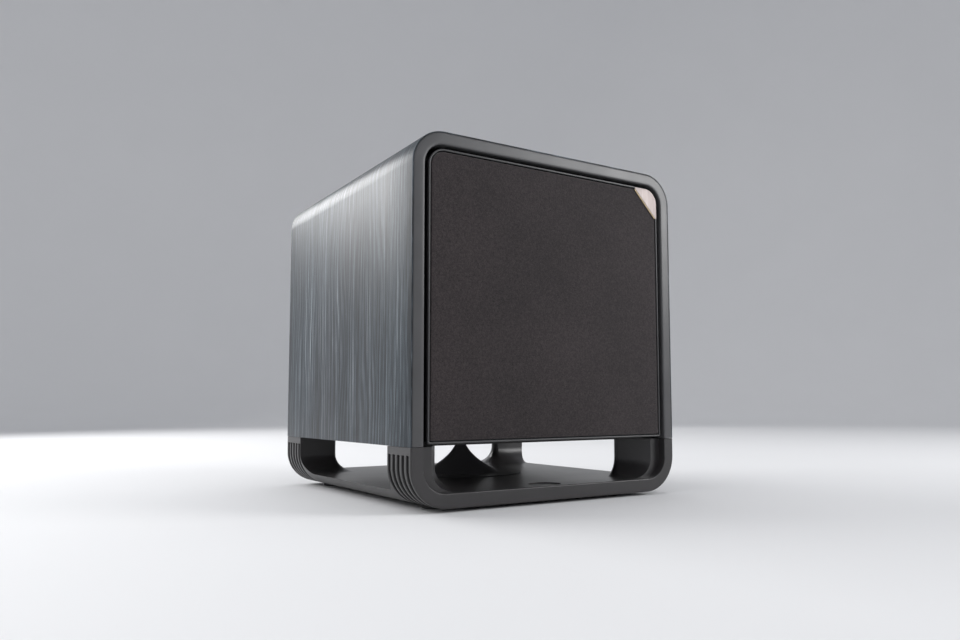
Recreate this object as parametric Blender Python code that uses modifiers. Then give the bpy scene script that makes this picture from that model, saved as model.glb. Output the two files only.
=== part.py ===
"""A powered bass-reflex subwoofer: a wood-veneered cabinet on a louvred base, with a down-firing port.

Units are metres and +Z is up. The front faces -Y. Every part is a child of one empty, whose origin lies in
the cabinet's front plane, on the centre line, level with the underside of the base.
"""

import math

import bmesh
import bpy
from mathutils import Matrix, Vector

# Driving dimensions
WIDTH = 0.363
HEIGHT = 0.398
DEPTH = 0.399
TOP_RADIUS = 0.038
BOTTOM_RADIUS = 0.043
BASE_HEIGHT = 0.064
FOOT_HEIGHT = 0.004
REAR_REACH = 0.0161
WALL = 0.015
GAP = 0.0003
PAST = 0.01
OVERLAP = 0.0005

# Front
WRAP_FRONT = 0.0006
BEZEL_DEPTH = 0.0177
BEZEL_ROUNDING = 0.0008
BEZEL_LIP = 0.0012
APERTURE_HALF = 0.167
APERTURE_TOP = 0.3846
APERTURE_RADIUS = 0.024
WINDOW_RADIUS = 0.026
GRILLE_HALF = 0.162
GRILLE_TOP = 0.3796
GRILLE_BOTTOM = 0.0668
GRILLE_RADIUS = 0.0195
GRILLE_FRONT = 0.0016
CLOTH = 0.0012
GRILLE_BACK = 0.014
GRILLE_RIM = 0.016
GRILLE_BAR = 0.006
PEG_X = 0.146
PEG_LOW = 0.090
PEG_HIGH = 0.352
PEG_RADIUS = 0.005
PEG_REACH = 0.032
EAR_HALF = 0.009
BADGE_WIDTH = 0.039
BADGE_HEIGHT = 0.040
BADGE_MARGIN = 0.0012
BAFFLE_FRONT = 0.034
BAFFLE_THICKNESS = 0.018
PANEL_FRONT = 0.020
BRACE_FRONT = 0.281
BRACE_THICKNESS = 0.012

# Base
FLOOR = 0.016
RIM_DEPTH = 0.010
LEG_FACE = 0.153
LEG_INNER = 0.124
LEG_DEPTH = 0.057
LEG_CORNER = 0.007
LEG_FILLET = 0.024
FRONT_SPREAD = 0.42
REAR_SPREAD = 1.29
GROOVE_COUNT = 5
GROOVE_WIDTH = 0.0058
GROOVE_PITCH = 0.0110
GROOVE_START = 0.005
GROOVE_DEPTH = 0.003
GROOVE_TOP = 0.0557
FOOT_X = 0.128
FOOT_INSET = 0.048
FOOT_RADIUS = 0.015
FOOT_PLUG = 0.005
FOOT_PLUG_TOP = 0.0070
DIMPLE_RADIUS = 0.019
DIMPLE_Y = 0.024
DIMPLE_DEPTH = 0.0012
SCREW_X = 0.147
SCREW_INSET = 0.037
SCREW_SEAT = 0.030
SCREW_CLEARANCE = 0.0027
PORT_Y = 0.221
PORT_RADIUS = 0.038
PORT_WALL = 0.0025
PORT_MOUTH = 0.072
PORT_HOLE = 0.075
PORT_LOW = 0.0618
PORT_NECK = 0.104
PORT_FLANGE = 0.089
PORT_TOP = 0.236

# Woofer, all on one axis along Y
WOOFER_Z = 0.223
BASKET_RADIUS = 0.128
BASKET_FRONT = 0.0297
BASKET_FLANGE = 0.004
BASKET_SCREW_CIRCLE = 0.121
BASKET_HOLE = 0.0025
WOOFER_HOLE = 0.1135
COIL_RADIUS = 0.0255
CONE_NECK = 0.0258
CONE_EDGE = 0.0860
CONE_RIM = 0.0935
CONE_NECK_PLACE = 0.0840
CONE_EDGE_PLACE = 0.0306
CONE_PAPER = 0.0012
COIL_FRONT = 0.1095
COIL_BACK = 0.1245
TOP_PLATE_RADIUS = 0.060
TOP_PLATE_THICKNESS = 0.006
MAGNET_RADIUS = 0.070
MAGNET_FRONT = 0.1143
MAGNET_THICKNESS = 0.018
YOKE_THICKNESS = 0.0066
POLE_RADIUS = 0.0238
POLE_VENT = 0.008
TERMINAL_FRONT = 0.098
TERMINAL_TOP = WOOFER_Z - 0.0624
WIRE_RADIUS = 0.0013

# Amplifier
AMP_Z = 0.223
AMP_WIDTH = 0.236
AMP_HEIGHT = 0.196
AMP_HOLE_WIDTH = 0.214
AMP_HOLE_HEIGHT = 0.174
PLATE_BACK = DEPTH + GAP
PLATE_THICKNESS = 0.0025
PLATE_FACE = PLATE_BACK + PLATE_THICKNESS
BOARD_FRONT = 0.352
BOARD_THICKNESS = 0.0016
HEATSINK_LEFT = -0.104
HEATSINK_RIGHT = -0.004
HEATSINK_HALF = 0.062
HEATSINK_DEPTH = 0.0125
FIN = 0.0022
FIN_COUNT = 9
CONTROL_LEFT = 0.036
CONTROL_RIGHT = 0.082
KNOB_Z = 0.286
SWITCH_Z = 0.252
JACK_Z = 0.222
MAINS_Z = 0.158
ROCKER_X = 0.026
ROCKER_TILT = math.radians(8)
INLET_X = 0.074
LED_X = (CONTROL_LEFT + CONTROL_RIGHT) / 2
LED_Z = 0.306
SLOT_HALF_X = 0.0068
SLOT_HALF_Z = 0.0028

FINE = 36
MEDIUM = 24
COARSE = 16
MERGE = 0.00002
HALF_TURN = math.pi
QUARTER = math.pi / 2


def clear_scene():
    for obj in list(bpy.data.objects):
        bpy.data.objects.remove(obj, do_unlink=True)


def new_collection(name, hidden=False):
    collection = bpy.data.collections.new(name)
    collection.hide_render = hidden
    bpy.context.scene.collection.children.link(collection)
    return collection


clear_scene()
PARTS = new_collection("subwoofer")
CUTTERS = new_collection("cutters", hidden=True)
ORIGIN = bpy.data.objects.new("front_plane", None)
ORIGIN.location = (0, -(DEPTH + REAR_REACH) / 2, FOOT_HEIGHT)
PARTS.objects.link(ORIGIN)


def finish(name, colour, roughness, metallic=0.0):
    material = bpy.data.materials.new(name)
    material.use_nodes = True
    shader = material.node_tree.nodes["Principled BSDF"]
    shader.inputs["Base Color"].default_value = (*colour, 1)
    shader.inputs["Roughness"].default_value = roughness
    shader.inputs["Metallic"].default_value = metallic
    return material


WOOD = finish("charcoal_wood_veneer", (0.075, 0.085, 0.095), 0.42)
BOARD = finish("fibreboard", (0.26, 0.19, 0.12), 0.8)
SATIN = finish("satin_grey_plastic", (0.075, 0.075, 0.08), 0.4)
DARK = finish("dark_plastic", (0.045, 0.045, 0.047), 0.38)
BLACK = finish("black_plastic", (0.012, 0.012, 0.012), 0.35)
CLOTH_FINISH = finish("grille_fabric", (0.04, 0.034, 0.034), 0.9)
SILVER = finish("silver_metal", (0.55, 0.52, 0.5), 0.3, 1.0)
STEEL = finish("zinc_steel", (0.5, 0.5, 0.48), 0.35, 1.0)
BLACK_STEEL = finish("black_steel", (0.02, 0.02, 0.02), 0.4, 0.6)
FERRITE = finish("ferrite", (0.05, 0.05, 0.055), 0.6)
RUBBER = finish("rubber", (0.012, 0.012, 0.012), 0.7)
PAPER = finish("pressed_paper", (0.02, 0.02, 0.022), 0.75)
TEXTILE = finish("impregnated_textile", (0.35, 0.24, 0.08), 0.8)
COPPER = finish("copper", (0.7, 0.32, 0.16), 0.35, 1.0)
WADDING = finish("polyester_wadding", (0.75, 0.75, 0.72), 0.95)
LAMINATE = finish("circuit_laminate", (0.02, 0.12, 0.05), 0.5)
ANODISED = finish("black_anodised_aluminium", (0.02, 0.02, 0.022), 0.4, 0.8)
RED_SLEEVE = finish("red_sleeve", (0.45, 0.02, 0.02), 0.5)
LENS = finish("led_lens", (0.05, 0.25, 0.6), 0.2)


def adopt(obj, material=None, collection=PARTS):
    """Links an object into a collection as a child of the origin, with its finish."""
    for holder in list(obj.users_collection):
        holder.objects.unlink(obj)
    collection.objects.link(obj)
    obj.parent = ORIGIN
    if material is not None:
        obj.data.materials.clear()
        obj.data.materials.append(material)
    if collection is CUTTERS:
        obj.hide_render = True
        obj.display_type = "WIRE"
    return obj


def filleted(corners, steps=8):
    """The outline through (x, y, radius) corners, each rounded to its radius."""
    outline = []
    count = len(corners)
    for i, (x, y, radius) in enumerate(corners):
        here = Vector((x, y))
        if radius == 0:
            outline.append(here)
            continue
        back = (Vector(corners[i - 1][:2]) - here).normalized()
        ahead = (Vector(corners[(i + 1) % count][:2]) - here).normalized()
        half_angle = back.angle(ahead) / 2
        centre = here + (back + ahead).normalized() * radius / math.sin(half_angle)
        start = here + back * radius / math.tan(half_angle) - centre
        sweep = start.angle_signed(here + ahead * radius / math.tan(half_angle) - centre)
        for step in range(steps + 1):
            turn = -sweep * step / steps
            spoke = Vector((
                start.x * math.cos(turn) - start.y * math.sin(turn),
                start.x * math.sin(turn) + start.y * math.cos(turn),
            ))
            outline.append(centre + spoke)
    return outline


def rectangle(x, y, width, height, radius=0.0, steps=4):
    left, right, low, high = x - width / 2, x + width / 2, y - height / 2, y + height / 2
    corners = [(left, low), (right, low), (right, high), (left, high)]
    return filleted([(*corner, radius) for corner in corners], steps)


def circle(x, y, radius, steps=COARSE):
    turns = [2 * HALF_TURN * i / steps for i in range(steps)]
    return [Vector((x + radius * math.cos(turn), y + radius * math.sin(turn))) for turn in turns]


def arch(half, top, radius, low, wall, steps=8):
    """An upside-down U: outer half width, top and corner radius, its two lower ends, and its wall."""
    inner = half - wall
    return filleted([
        (-half, low, 0), (-inner, low, 0), (-inner, top - wall, radius - wall),
        (inner, top - wall, radius - wall), (inner, low, 0), (half, low, 0),
        (half, top, radius), (-half, top, radius),
    ], steps)


def plate(name, outlines, low, high, material=None, axis="Y", collection=PARTS):
    """A flat outline, with any holes, made solid from low to high along an axis.

    Outlines are (x, z) for axis Y, (x, y) for axis Z and (y, z) for axis X.
    """
    curve = bpy.data.curves.new(name, "CURVE")
    curve.dimensions = "2D"
    curve.fill_mode = "BOTH"
    curve.extrude = (high - low) / 2
    for outline in outlines:
        spline = curve.splines.new("POLY")
        spline.points.add(len(outline) - 1)
        for point, place in zip(spline.points, outline):
            point.co = (place[0], place[1], 0, 1)
        spline.use_cyclic_u = True
    guide = bpy.data.objects.new(name + "_outline", curve)
    bpy.context.scene.collection.objects.link(guide)
    bpy.context.view_layer.update()
    mesh = bpy.data.meshes.new_from_object(guide.evaluated_get(bpy.context.evaluated_depsgraph_get()))
    bpy.data.objects.remove(guide, do_unlink=True)
    form = bmesh.new()
    form.from_mesh(mesh)
    bmesh.ops.remove_doubles(form, verts=form.verts, dist=MERGE / 20)
    bmesh.ops.recalc_face_normals(form, faces=form.faces)
    form.to_mesh(mesh)
    form.free()
    obj = bpy.data.objects.new(name, mesh)
    middle = (low + high) / 2
    if axis == "Y":
        obj.rotation_euler = (QUARTER, 0, 0)
        obj.location = (0, middle, 0)
    elif axis == "X":
        obj.rotation_euler = (QUARTER, 0, QUARTER)
        obj.location = (middle, 0, 0)
    else:
        obj.location = (0, 0, middle)
    return adopt(obj, material, collection)


def block(name, low, high, material=None, collection=PARTS):
    """A box from its lowest corner to its highest."""
    mesh = bpy.data.meshes.new(name)
    form = bmesh.new()
    bmesh.ops.create_cube(form, size=1)
    size = [b - a for a, b in zip(low, high)]
    bmesh.ops.scale(form, vec=size, verts=form.verts)
    form.to_mesh(mesh)
    form.free()
    obj = bpy.data.objects.new(name, mesh)
    obj.location = [(a + b) / 2 for a, b in zip(low, high)]
    return adopt(obj, material, collection)


def turned(name, profile, centre, material=None, along="Y", steps=FINE, collection=PARTS):
    """A turned shape from (radius, place) points, where place runs along the axis from the centre."""
    points = [(radius, -place if along == "Y" else place) for radius, place in profile]
    pairs = list(zip(points, points[1:] + points[:1]))
    if sum(a[0] * b[1] - b[0] * a[1] for a, b in pairs) > 0:
        points.reverse()
    on_axis = [i for i, point in enumerate(points) if point[0] == 0]
    if on_axis:
        while not (points[0][0] == 0 and points[-1][0] == 0):
            points = points[1:] + points[:1]
    edges = [(i, i + 1) for i in range(len(points) - 1)]
    if not on_axis:
        edges.append((len(points) - 1, 0))
    mesh = bpy.data.meshes.new(name)
    mesh.from_pydata([(radius, 0, height) for radius, height in points], edges, [])
    obj = bpy.data.objects.new(name, mesh)
    obj.location = centre
    if along == "Y":
        obj.rotation_euler = (QUARTER, 0, 0)
    screw = obj.modifiers.new("turn", "SCREW")
    screw.steps = steps
    screw.render_steps = steps
    screw.use_merge_vertices = True
    screw.merge_threshold = MERGE
    return adopt(obj, material, collection)


def fixed(obj):
    """The object with its modifiers and rotation made part of its mesh."""
    bpy.context.view_layer.update()
    mesh = bpy.data.meshes.new_from_object(obj.evaluated_get(bpy.context.evaluated_depsgraph_get()))
    obj.modifiers.clear()
    mesh.transform(obj.rotation_euler.to_matrix().to_4x4())
    obj.rotation_euler = (0, 0, 0)
    obj.data = mesh
    return obj


def combine(obj, others, operation="DIFFERENCE"):
    for other in others:
        modifier = obj.modifiers.new(operation.lower(), "BOOLEAN")
        modifier.operation = operation
        modifier.solver = "EXACT"
        modifier.object = other
    return obj


def rounded(obj, width, segments=2, angle=0.6):
    bevel = obj.modifiers.new("rounding", "BEVEL")
    bevel.width = width
    bevel.segments = segments
    bevel.limit_method = "ANGLE"
    bevel.angle_limit = angle
    return obj


def screw(name, place, along, head, shank, length):
    """A pan-head screw: its head's underside is at place, and its shank points the way of along."""
    top = -head * 0.5
    face = head * 0.75
    profile = [(0, top), (face, top), (head, top / 2), (head, 0), (shank, 0), (shank, length), (0, length)]
    return turned(name, profile, place, STEEL, along, steps=10)


def both_sides():
    return ((-1, "left"), (1, "right"))


def corners(side_x, inset):
    """The four corner places (x, y, name) at the same distances from the sides and the ends."""
    return [
        (sign * side_x, y, f"{end}_{side}")
        for y, end in ((inset, "front"), (DEPTH - inset, "rear"))
        for sign, side in both_sides()
    ]


# Enclosure
def make_wrap():
    outline = arch(WIDTH / 2, HEIGHT, TOP_RADIUS, BASE_HEIGHT + GAP, WALL, steps=10)
    wrap = plate("cabinet_wrap", [outline], WRAP_FRONT, DEPTH, WOOD)
    half = WIDTH / 2 - BEZEL_LIP
    top = HEIGHT - BEZEL_LIP
    radius = TOP_RADIUS - BEZEL_LIP
    rebate = filleted([(-half, 0, 0), (half, 0, 0), (half, top, radius), (-half, top, radius)], 10)
    cutter = plate("bezel_rebate", [rebate], -PAST, BEZEL_DEPTH + GAP, collection=CUTTERS)
    return combine(wrap, [cutter])


INSIDE_HALF = WIDTH / 2 - WALL - GAP
INSIDE_TOP = HEIGHT - WALL - GAP
INSIDE_RADIUS = TOP_RADIUS - WALL - GAP
PANEL_TOP = BASE_HEIGHT + GAP + WALL


def inside_outline(low):
    return filleted([
        (-INSIDE_HALF, low, 0), (INSIDE_HALF, low, 0),
        (INSIDE_HALF, INSIDE_TOP, INSIDE_RADIUS), (-INSIDE_HALF, INSIDE_TOP, INSIDE_RADIUS),
    ], 6)


def make_bottom_panel():
    length = DEPTH - WALL - GAP - PANEL_FRONT
    outline = rectangle(0, PANEL_FRONT + length / 2, 2 * INSIDE_HALF, length)
    holes = [circle(0, PORT_Y, PORT_HOLE, FINE)]
    holes += [circle(x, y, SCREW_CLEARANCE, 8) for x, y, _ in corners(SCREW_X, SCREW_INSET)]
    plate("bottom_panel", [outline, *holes], BASE_HEIGHT + GAP, PANEL_TOP, BOARD, axis="Z")


def make_baffle():
    peg_clearance = 0.0008
    holes = [circle(0, WOOFER_Z, WOOFER_HOLE, FINE)]
    holes += [circle(x, z, PEG_RADIUS + peg_clearance, 12) for x, z, _ in peg_places()]
    holes += [circle(x, z, BASKET_HOLE, 8) for x, z in woofer_screw_places()]
    outlines = [inside_outline(PANEL_TOP + GAP), *holes]
    plate("front_baffle", outlines, BAFFLE_FRONT, BAFFLE_FRONT + BAFFLE_THICKNESS, BOARD)


def make_rear_panel():
    cut_out = rectangle(0, AMP_Z, AMP_HOLE_WIDTH, AMP_HOLE_HEIGHT, 0.006)
    plate("rear_panel", [inside_outline(BASE_HEIGHT + GAP), cut_out], DEPTH - WALL, DEPTH, BOARD)


def make_brace():
    middle, width, height, radius = 0.232, 0.250, 0.230, 0.030
    outlines = [inside_outline(PANEL_TOP + GAP), rectangle(0, middle, width, height, radius)]
    plate("internal_brace", outlines, BRACE_FRONT, BRACE_FRONT + BRACE_THICKNESS, BOARD)


def make_wadding():
    """A slab of wadding under the cabinet's top, from just behind the baffle to just before the brace."""
    half, depth = 0.140, 0.026
    front, back = BAFFLE_FRONT + BAFFLE_THICKNESS + 0.010, BRACE_FRONT - 0.011
    top = INSIDE_TOP - 2 * GAP - 0.0001
    wadding = block("acoustic_wadding", (-half, front, top - depth), (half, back, top), WADDING)
    rounded(wadding, 0.006, 1)


# Base
def leg_space_outline(growth):
    """The plan of the space between the four legs, with every leg's faces moved outwards by growth.

    The faces towards the side windows move by a share of it: less on the front legs, more on the rear ones.
    """
    side = WIDTH / 2 + 2 * PAST
    front_face = RIM_DEPTH - OVERLAP
    slant = Vector((LEG_DEPTH - front_face, LEG_FACE - LEG_INNER)).normalized()
    face = LEG_FACE - growth / slant.x
    inner = LEG_INNER - growth * (1 + slant.y) / slant.x
    corner = LEG_CORNER + growth

    def leg(spread):
        near = LEG_DEPTH + growth * spread
        return [(face, front_face, 0), (inner, near, corner), (side, near, 0)]

    rear = [(x, DEPTH - y, radius) for x, y, radius in reversed(leg(REAR_SPREAD))]
    right = leg(FRONT_SPREAD) + rear
    left = [(-x, y, radius) for x, y, radius in reversed(right)]
    return filleted(right + left, 3)


def make_leg_space():
    """The cutter between the legs. Its lower edge leaves a fillet where each leg meets the floor."""
    rings = []
    steps = 4
    for step in range(steps + 1):
        turn = QUARTER * step / steps
        growth = LEG_FILLET * (1 - math.sin(turn))
        rings.append((leg_space_outline(growth), FLOOR + LEG_FILLET * (1 - math.cos(turn))))
    rings.append((leg_space_outline(0), BASE_HEIGHT + PAST))
    return lofted("leg_space", rings, CUTTERS)


def lofted(name, rings, collection=PARTS):
    """A solid through flat outlines of equal length, stacked from the lowest to the highest."""
    mesh = bpy.data.meshes.new(name)
    form = bmesh.new()
    levels = [[form.verts.new((point.x, point.y, height)) for point in outline] for outline, height in rings]
    for lower, upper in zip(levels, levels[1:]):
        for i in range(len(lower)):
            form.faces.new((lower[i - 1], lower[i], upper[i], upper[i - 1]))
    form.faces.new(list(reversed(levels[0])))
    form.faces.new(levels[-1])
    bmesh.ops.recalc_face_normals(form, faces=form.faces)
    form.to_mesh(mesh)
    form.free()
    return adopt(bpy.data.objects.new(name, mesh), None, collection)


def groove_cutters():
    """One band-shaped cutter for each groove, running down the side and round the bottom edge."""
    outer = WIDTH / 2 + PAST
    inner = WIDTH / 2 - GROOVE_DEPTH
    end = WIDTH / 2 - BOTTOM_RADIUS - 0.004
    cutters = []
    for index in range(GROOVE_COUNT):
        near = GROOVE_START + index * GROOVE_PITCH
        far = DEPTH - near - GROOVE_WIDTH
        for sign, side in both_sides():
            band = filleted([
                (sign * outer, GROOVE_TOP, 0), (sign * inner, GROOVE_TOP, 0),
                (sign * inner, GROOVE_DEPTH, BOTTOM_RADIUS - GROOVE_DEPTH),
                (sign * end, GROOVE_DEPTH, 0), (sign * end, -PAST, 0), (sign * outer, -PAST, 0),
            ], 4)
            for low, place in ((near, "front"), (far, "rear")):
                name = f"groove_{place}_{side}_{index}"
                cutters.append(plate(name, [band], low, low + GROOVE_WIDTH, collection=CUTTERS))
    return cutters


def window_rim(name, low, high):
    """The opening in the front or rear rim, with its two lower corners rounded."""
    outline = filleted([
        (-APERTURE_HALF, FLOOR, WINDOW_RADIUS), (APERTURE_HALF, FLOOR, WINDOW_RADIUS),
        (APERTURE_HALF, BASE_HEIGHT + PAST, 0), (-APERTURE_HALF, BASE_HEIGHT + PAST, 0),
    ], 6)
    return plate(name, [outline], low, high, collection=CUTTERS)


def make_plinth():
    half = WIDTH / 2
    outline = filleted([
        (-half, 0, BOTTOM_RADIUS), (half, 0, BOTTOM_RADIUS), (half, BASE_HEIGHT, 0), (-half, BASE_HEIGHT, 0),
    ], 6)
    plinth = plate("base_plinth", [outline], 0, DEPTH, DARK)
    dimple = (DIMPLE_RADIUS, FLOOR - DIMPLE_DEPTH, FLOOR + PAST)
    cutters = [
        make_leg_space(),
        window_rim("front_window", -PAST, RIM_DEPTH),
        window_rim("rear_window", DEPTH - RIM_DEPTH, DEPTH + PAST),
        *groove_cutters(),
        pin_cutter("floor_dimple", (0, DIMPLE_Y), [dimple], COARSE),
    ]
    for x, y, name in corners(SCREW_X, SCREW_INSET):
        bore = [(0.0056, -PAST, SCREW_SEAT), (0.0028, SCREW_SEAT, BASE_HEIGHT + PAST)]
        cutters.append(pin_cutter(f"screw_bore_{name}", (x, y), bore))
    for x, y, name in corners(FOOT_X, FOOT_INSET):
        socket = [(FOOT_PLUG + OVERLAP, -PAST, FOOT_PLUG_TOP + OVERLAP)]
        cutters.append(pin_cutter(f"foot_socket_{name}", (x, y), socket))
    return combine(plinth, cutters)


def pin_cutter(name, place, steps_up, steps=10):
    """An upright cutter made of (radius, low, high) cylinders, one on top of the other."""
    profile = [(0, steps_up[0][1])]
    for radius, low, high in steps_up:
        profile += [(radius, low), (radius, high)]
    profile.append((0, steps_up[-1][2]))
    return turned(name, profile, (*place, 0), along="Z", steps=steps, collection=CUTTERS)


def make_feet():
    profile = [
        (0, -FOOT_HEIGHT), (FOOT_RADIUS, -FOOT_HEIGHT), (FOOT_RADIUS, -GAP), (FOOT_PLUG, -GAP),
        (FOOT_PLUG, FOOT_PLUG_TOP), (0, FOOT_PLUG_TOP),
    ]
    for x, y, name in corners(FOOT_X, FOOT_INSET):
        turned(f"foot_{name}", profile, (x, y, 0), RUBBER, "Z", steps=COARSE)


def make_base_screws():
    for x, y, name in corners(SCREW_X, SCREW_INSET):
        screw(f"base_screw_{name}", (x, y, SCREW_SEAT - GAP), "Z", head=0.0048, shank=0.0021, length=0.045)


def make_diffuser():
    """A trumpet-shaped cone on the floor, under the port. Its radius falls off exponentially with height."""
    foot, flange, edge, low, rise, steps = 0.0535, 0.082, 0.0009, 0.0015, 0.0585, 9
    decay, tightening = 36, 450
    heights = [low + rise * i / steps for i in range(steps + 1)]
    horn = [(foot * math.exp(-decay * h - tightening * h * h), h) for h in heights]
    skirt = [(0, GAP), (flange, GAP), (flange, edge), (0.066, edge + 0.0002)]
    profile = [*skirt, *horn, (0, low + rise + 0.0012)]
    turned("diffuser_cone", profile, (0, PORT_Y, FLOOR), BLACK, "Z", steps=32)


def make_port_mouth():
    """The flared mouth under the bottom panel, with a collar round the tube's lower end."""
    bore, wall, steps = PORT_RADIUS, PORT_WALL, 4
    collar, lip = bore + wall + 0.0004, 0.014
    turns = [QUARTER * i / steps for i in range(steps + 1)]
    inner = [
        (PORT_MOUTH - (PORT_MOUTH - bore) * math.sin(t), PORT_NECK - (PORT_NECK - PORT_LOW) * math.cos(t))
        for t in turns
    ]
    outer = [(radius + wall, height + wall * 0.8) for radius, height in reversed(inner[1:-1])]
    profile = [
        *inner, (collar, PORT_NECK), (collar, PORT_NECK + lip), (bore + 2 * wall, PORT_NECK + lip),
        (bore + 2 * wall, PORT_NECK), *outer, (PORT_MOUTH + 0.001, BASE_HEIGHT), (PORT_FLANGE, BASE_HEIGHT),
        (PORT_FLANGE, PORT_LOW),
    ]
    turned("port_mouth", profile, (0, PORT_Y, 0), BLACK, "Z", steps=20)


def make_port_tube():
    """The port's tube, flared at its inner end."""
    bore, wall, flared, rise, steps = PORT_RADIUS, PORT_WALL, 0.050, 0.016, 3
    low = PORT_NECK + GAP
    turns = [QUARTER * i / steps for i in range(steps + 1)]
    bell = [(flared - (flared - bore) * math.cos(t), PORT_TOP + rise * math.sin(t)) for t in turns]
    skirt = [(radius + wall, height) for radius, height in reversed(bell[1:])]
    tube = [(bore, low), *bell, *skirt, (bore + wall, PORT_TOP), (bore + wall, low)]
    turned("port_tube", tube, (0, PORT_Y, 0), BLACK, "Z", steps=20)


# Front
def make_bezel():
    inset = BEZEL_LIP + GAP
    half, top, radius = WIDTH / 2 - inset, HEIGHT - inset, TOP_RADIUS - inset
    low = BASE_HEIGHT + GAP
    outline = filleted([
        (-half, low, 0), (-APERTURE_HALF, low, 0), (-APERTURE_HALF, APERTURE_TOP, APERTURE_RADIUS),
        (APERTURE_HALF, APERTURE_TOP, APERTURE_RADIUS), (APERTURE_HALF, low, 0), (half, low, 0),
        (half, top, radius), (-half, top, radius),
    ], 10)
    bezel = plate("front_bezel", [outline], 0, BEZEL_DEPTH, SATIN)
    rounded(bezel, BEZEL_ROUNDING, 1)


def grille_outline(inset, steps=8):
    half, low, high = GRILLE_HALF - inset, GRILLE_BOTTOM + inset, GRILLE_TOP - inset
    radius = GRILLE_RADIUS - inset
    return filleted([
        (-half, low, 0.002), (half, low, 0.002), (half, high, radius), (-half, high, radius),
    ], steps)


def peg_places():
    return [(sign * PEG_X, z, f"{side}_{end}") for sign, side in both_sides()
            for z, end in ((PEG_LOW, "low"), (PEG_HIGH, "high"))]


def make_grille_frame():
    """A moulded frame with one cross-bar, a square ear at each corner and a peg on each ear."""
    inset = CLOTH + GAP
    width = 2 * (GRILLE_HALF - inset - GRILLE_RIM)
    low, high = GRILLE_BOTTOM + inset + GRILLE_RIM, GRILLE_TOP - inset - GRILLE_RIM
    half_height = (high - low) / 2 - GRILLE_BAR
    windows = [
        rectangle(0, low + half_height / 2, width, half_height, 0.006, 3),
        rectangle(0, high - half_height / 2, width, half_height, 0.012, 3),
    ]
    front = GRILLE_FRONT + CLOTH + GAP
    frame = plate("grille_frame", [grille_outline(inset), *windows], front, GRILLE_BACK, BLACK)
    tip = PEG_REACH - 0.002
    root, tip_radius = -0.004, PEG_RADIUS - 0.001
    peg = [(0, root), (PEG_RADIUS, root), (PEG_RADIUS, tip), (tip_radius, PEG_REACH), (0, PEG_REACH)]
    additions = []
    for x, z, name in peg_places():
        low_corner = (x - EAR_HALF, front + 0.001, z - EAR_HALF)
        high_corner = (x + EAR_HALF, GRILLE_BACK, z + EAR_HALF)
        additions.append(block(f"ear_{name}", low_corner, high_corner, collection=CUTTERS))
        additions.append(turned(f"peg_{name}", peg, (x, GRILLE_BACK, z), steps=12, collection=CUTTERS))
    combine(frame, additions, "UNION")


def make_grille_cloth():
    """The cloth is a shallow tray: a sheet across the frame's front, turned back over its four sides."""
    cloth = plate("grille_cloth", [grille_outline(0)], GRILLE_FRONT, GRILLE_BACK - 0.002, CLOTH_FINISH)
    fixed(cloth)
    round_front_edge(cloth, 0.0018)
    inside = [grille_outline(CLOTH)]
    hollow = plate("cloth_hollow", inside, GRILLE_FRONT + CLOTH, GRILLE_BACK + PAST, collection=CUTTERS)
    combine(cloth, [hollow])


def round_front_edge(obj, radius):
    form = bmesh.new()
    form.from_mesh(obj.data)
    bmesh.ops.dissolve_limit(form, angle_limit=0.02, verts=form.verts, edges=form.edges)
    front = min(vertex.co.y for vertex in form.verts)
    edges = [edge for edge in form.edges if all(vertex.co.y < front + 1e-6 for vertex in edge.verts)]
    bmesh.ops.bevel(form, geom=edges, offset=radius, segments=2, profile=0.5, affect="EDGES")
    form.to_mesh(obj.data)
    form.free()


def make_badge():
    """A plain three-cornered plate that follows the grille's upper right corner. It carries no lettering."""
    right, top, tip = GRILLE_HALF - BADGE_MARGIN, GRILLE_TOP - BADGE_MARGIN, 0.0012
    outline = filleted([
        (right - BADGE_WIDTH, top, tip), (right, top, GRILLE_RADIUS - BADGE_MARGIN + 0.0002),
        (right, top - BADGE_HEIGHT, tip),
    ], 8)
    plate("badge", [outline], GAP, GRILLE_FRONT - GAP, SILVER)


# Woofer
def woofer_screw_places():
    turns = [QUARTER / 2 + i * QUARTER for i in range(4)]
    return [(BASKET_SCREW_CIRCLE * math.cos(t), WOOFER_Z + BASKET_SCREW_CIRCLE * math.sin(t)) for t in turns]


def on_woofer_axis(name, profile, material, steps=MEDIUM):
    return turned(name, profile, (0, 0, WOOFER_Z), material, "Y", steps)


def make_basket():
    """A pressed basket: a flange, a bowl with six windows, a ledge for the spider and the magnet's seat."""
    back = MAGNET_FRONT - GAP
    flange_back = BASKET_FRONT + BASKET_FLANGE
    profile = [
        (BASKET_RADIUS, BASKET_FRONT), (BASKET_RADIUS, flange_back), (0.112, flange_back), (0.110, 0.046),
        (0.067, 0.090), (0.062, 0.096), (0.062, back), (0.030, back), (0.030, back - 0.002),
        (0.0595, back - 0.002), (0.0595, 0.0975), (0.052, 0.0975), (0.052, 0.0955), (0.0605, 0.0955),
        (0.0655, 0.0885), (0.1075, 0.0455), (0.1085, 0.0320), (0.106, BASKET_FRONT),
    ]
    basket = fixed(on_woofer_axis("woofer_basket", profile, BLACK_STEEL))
    combine(basket, basket_window_cutters() + basket_hole_cutters())


def basket_window_cutters():
    """Six blocks that stand round the bowl, each turned about the woofer's axis."""
    inner, outer, front, back, half, count = 0.074, 0.112, 0.048, 0.086, 0.021, 6
    cutters = []
    for index in range(count):
        name = f"basket_window_{index}"
        window = block(name, (inner, front, -half), (outer, back, half), collection=CUTTERS)
        window.data.transform(Matrix.Translation(window.location))
        window.location = (0, 0, WOOFER_Z)
        window.rotation_euler = (0, (index + 0.5) * 2 * HALF_TURN / count, 0)
        cutters.append(window)
    return cutters


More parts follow.
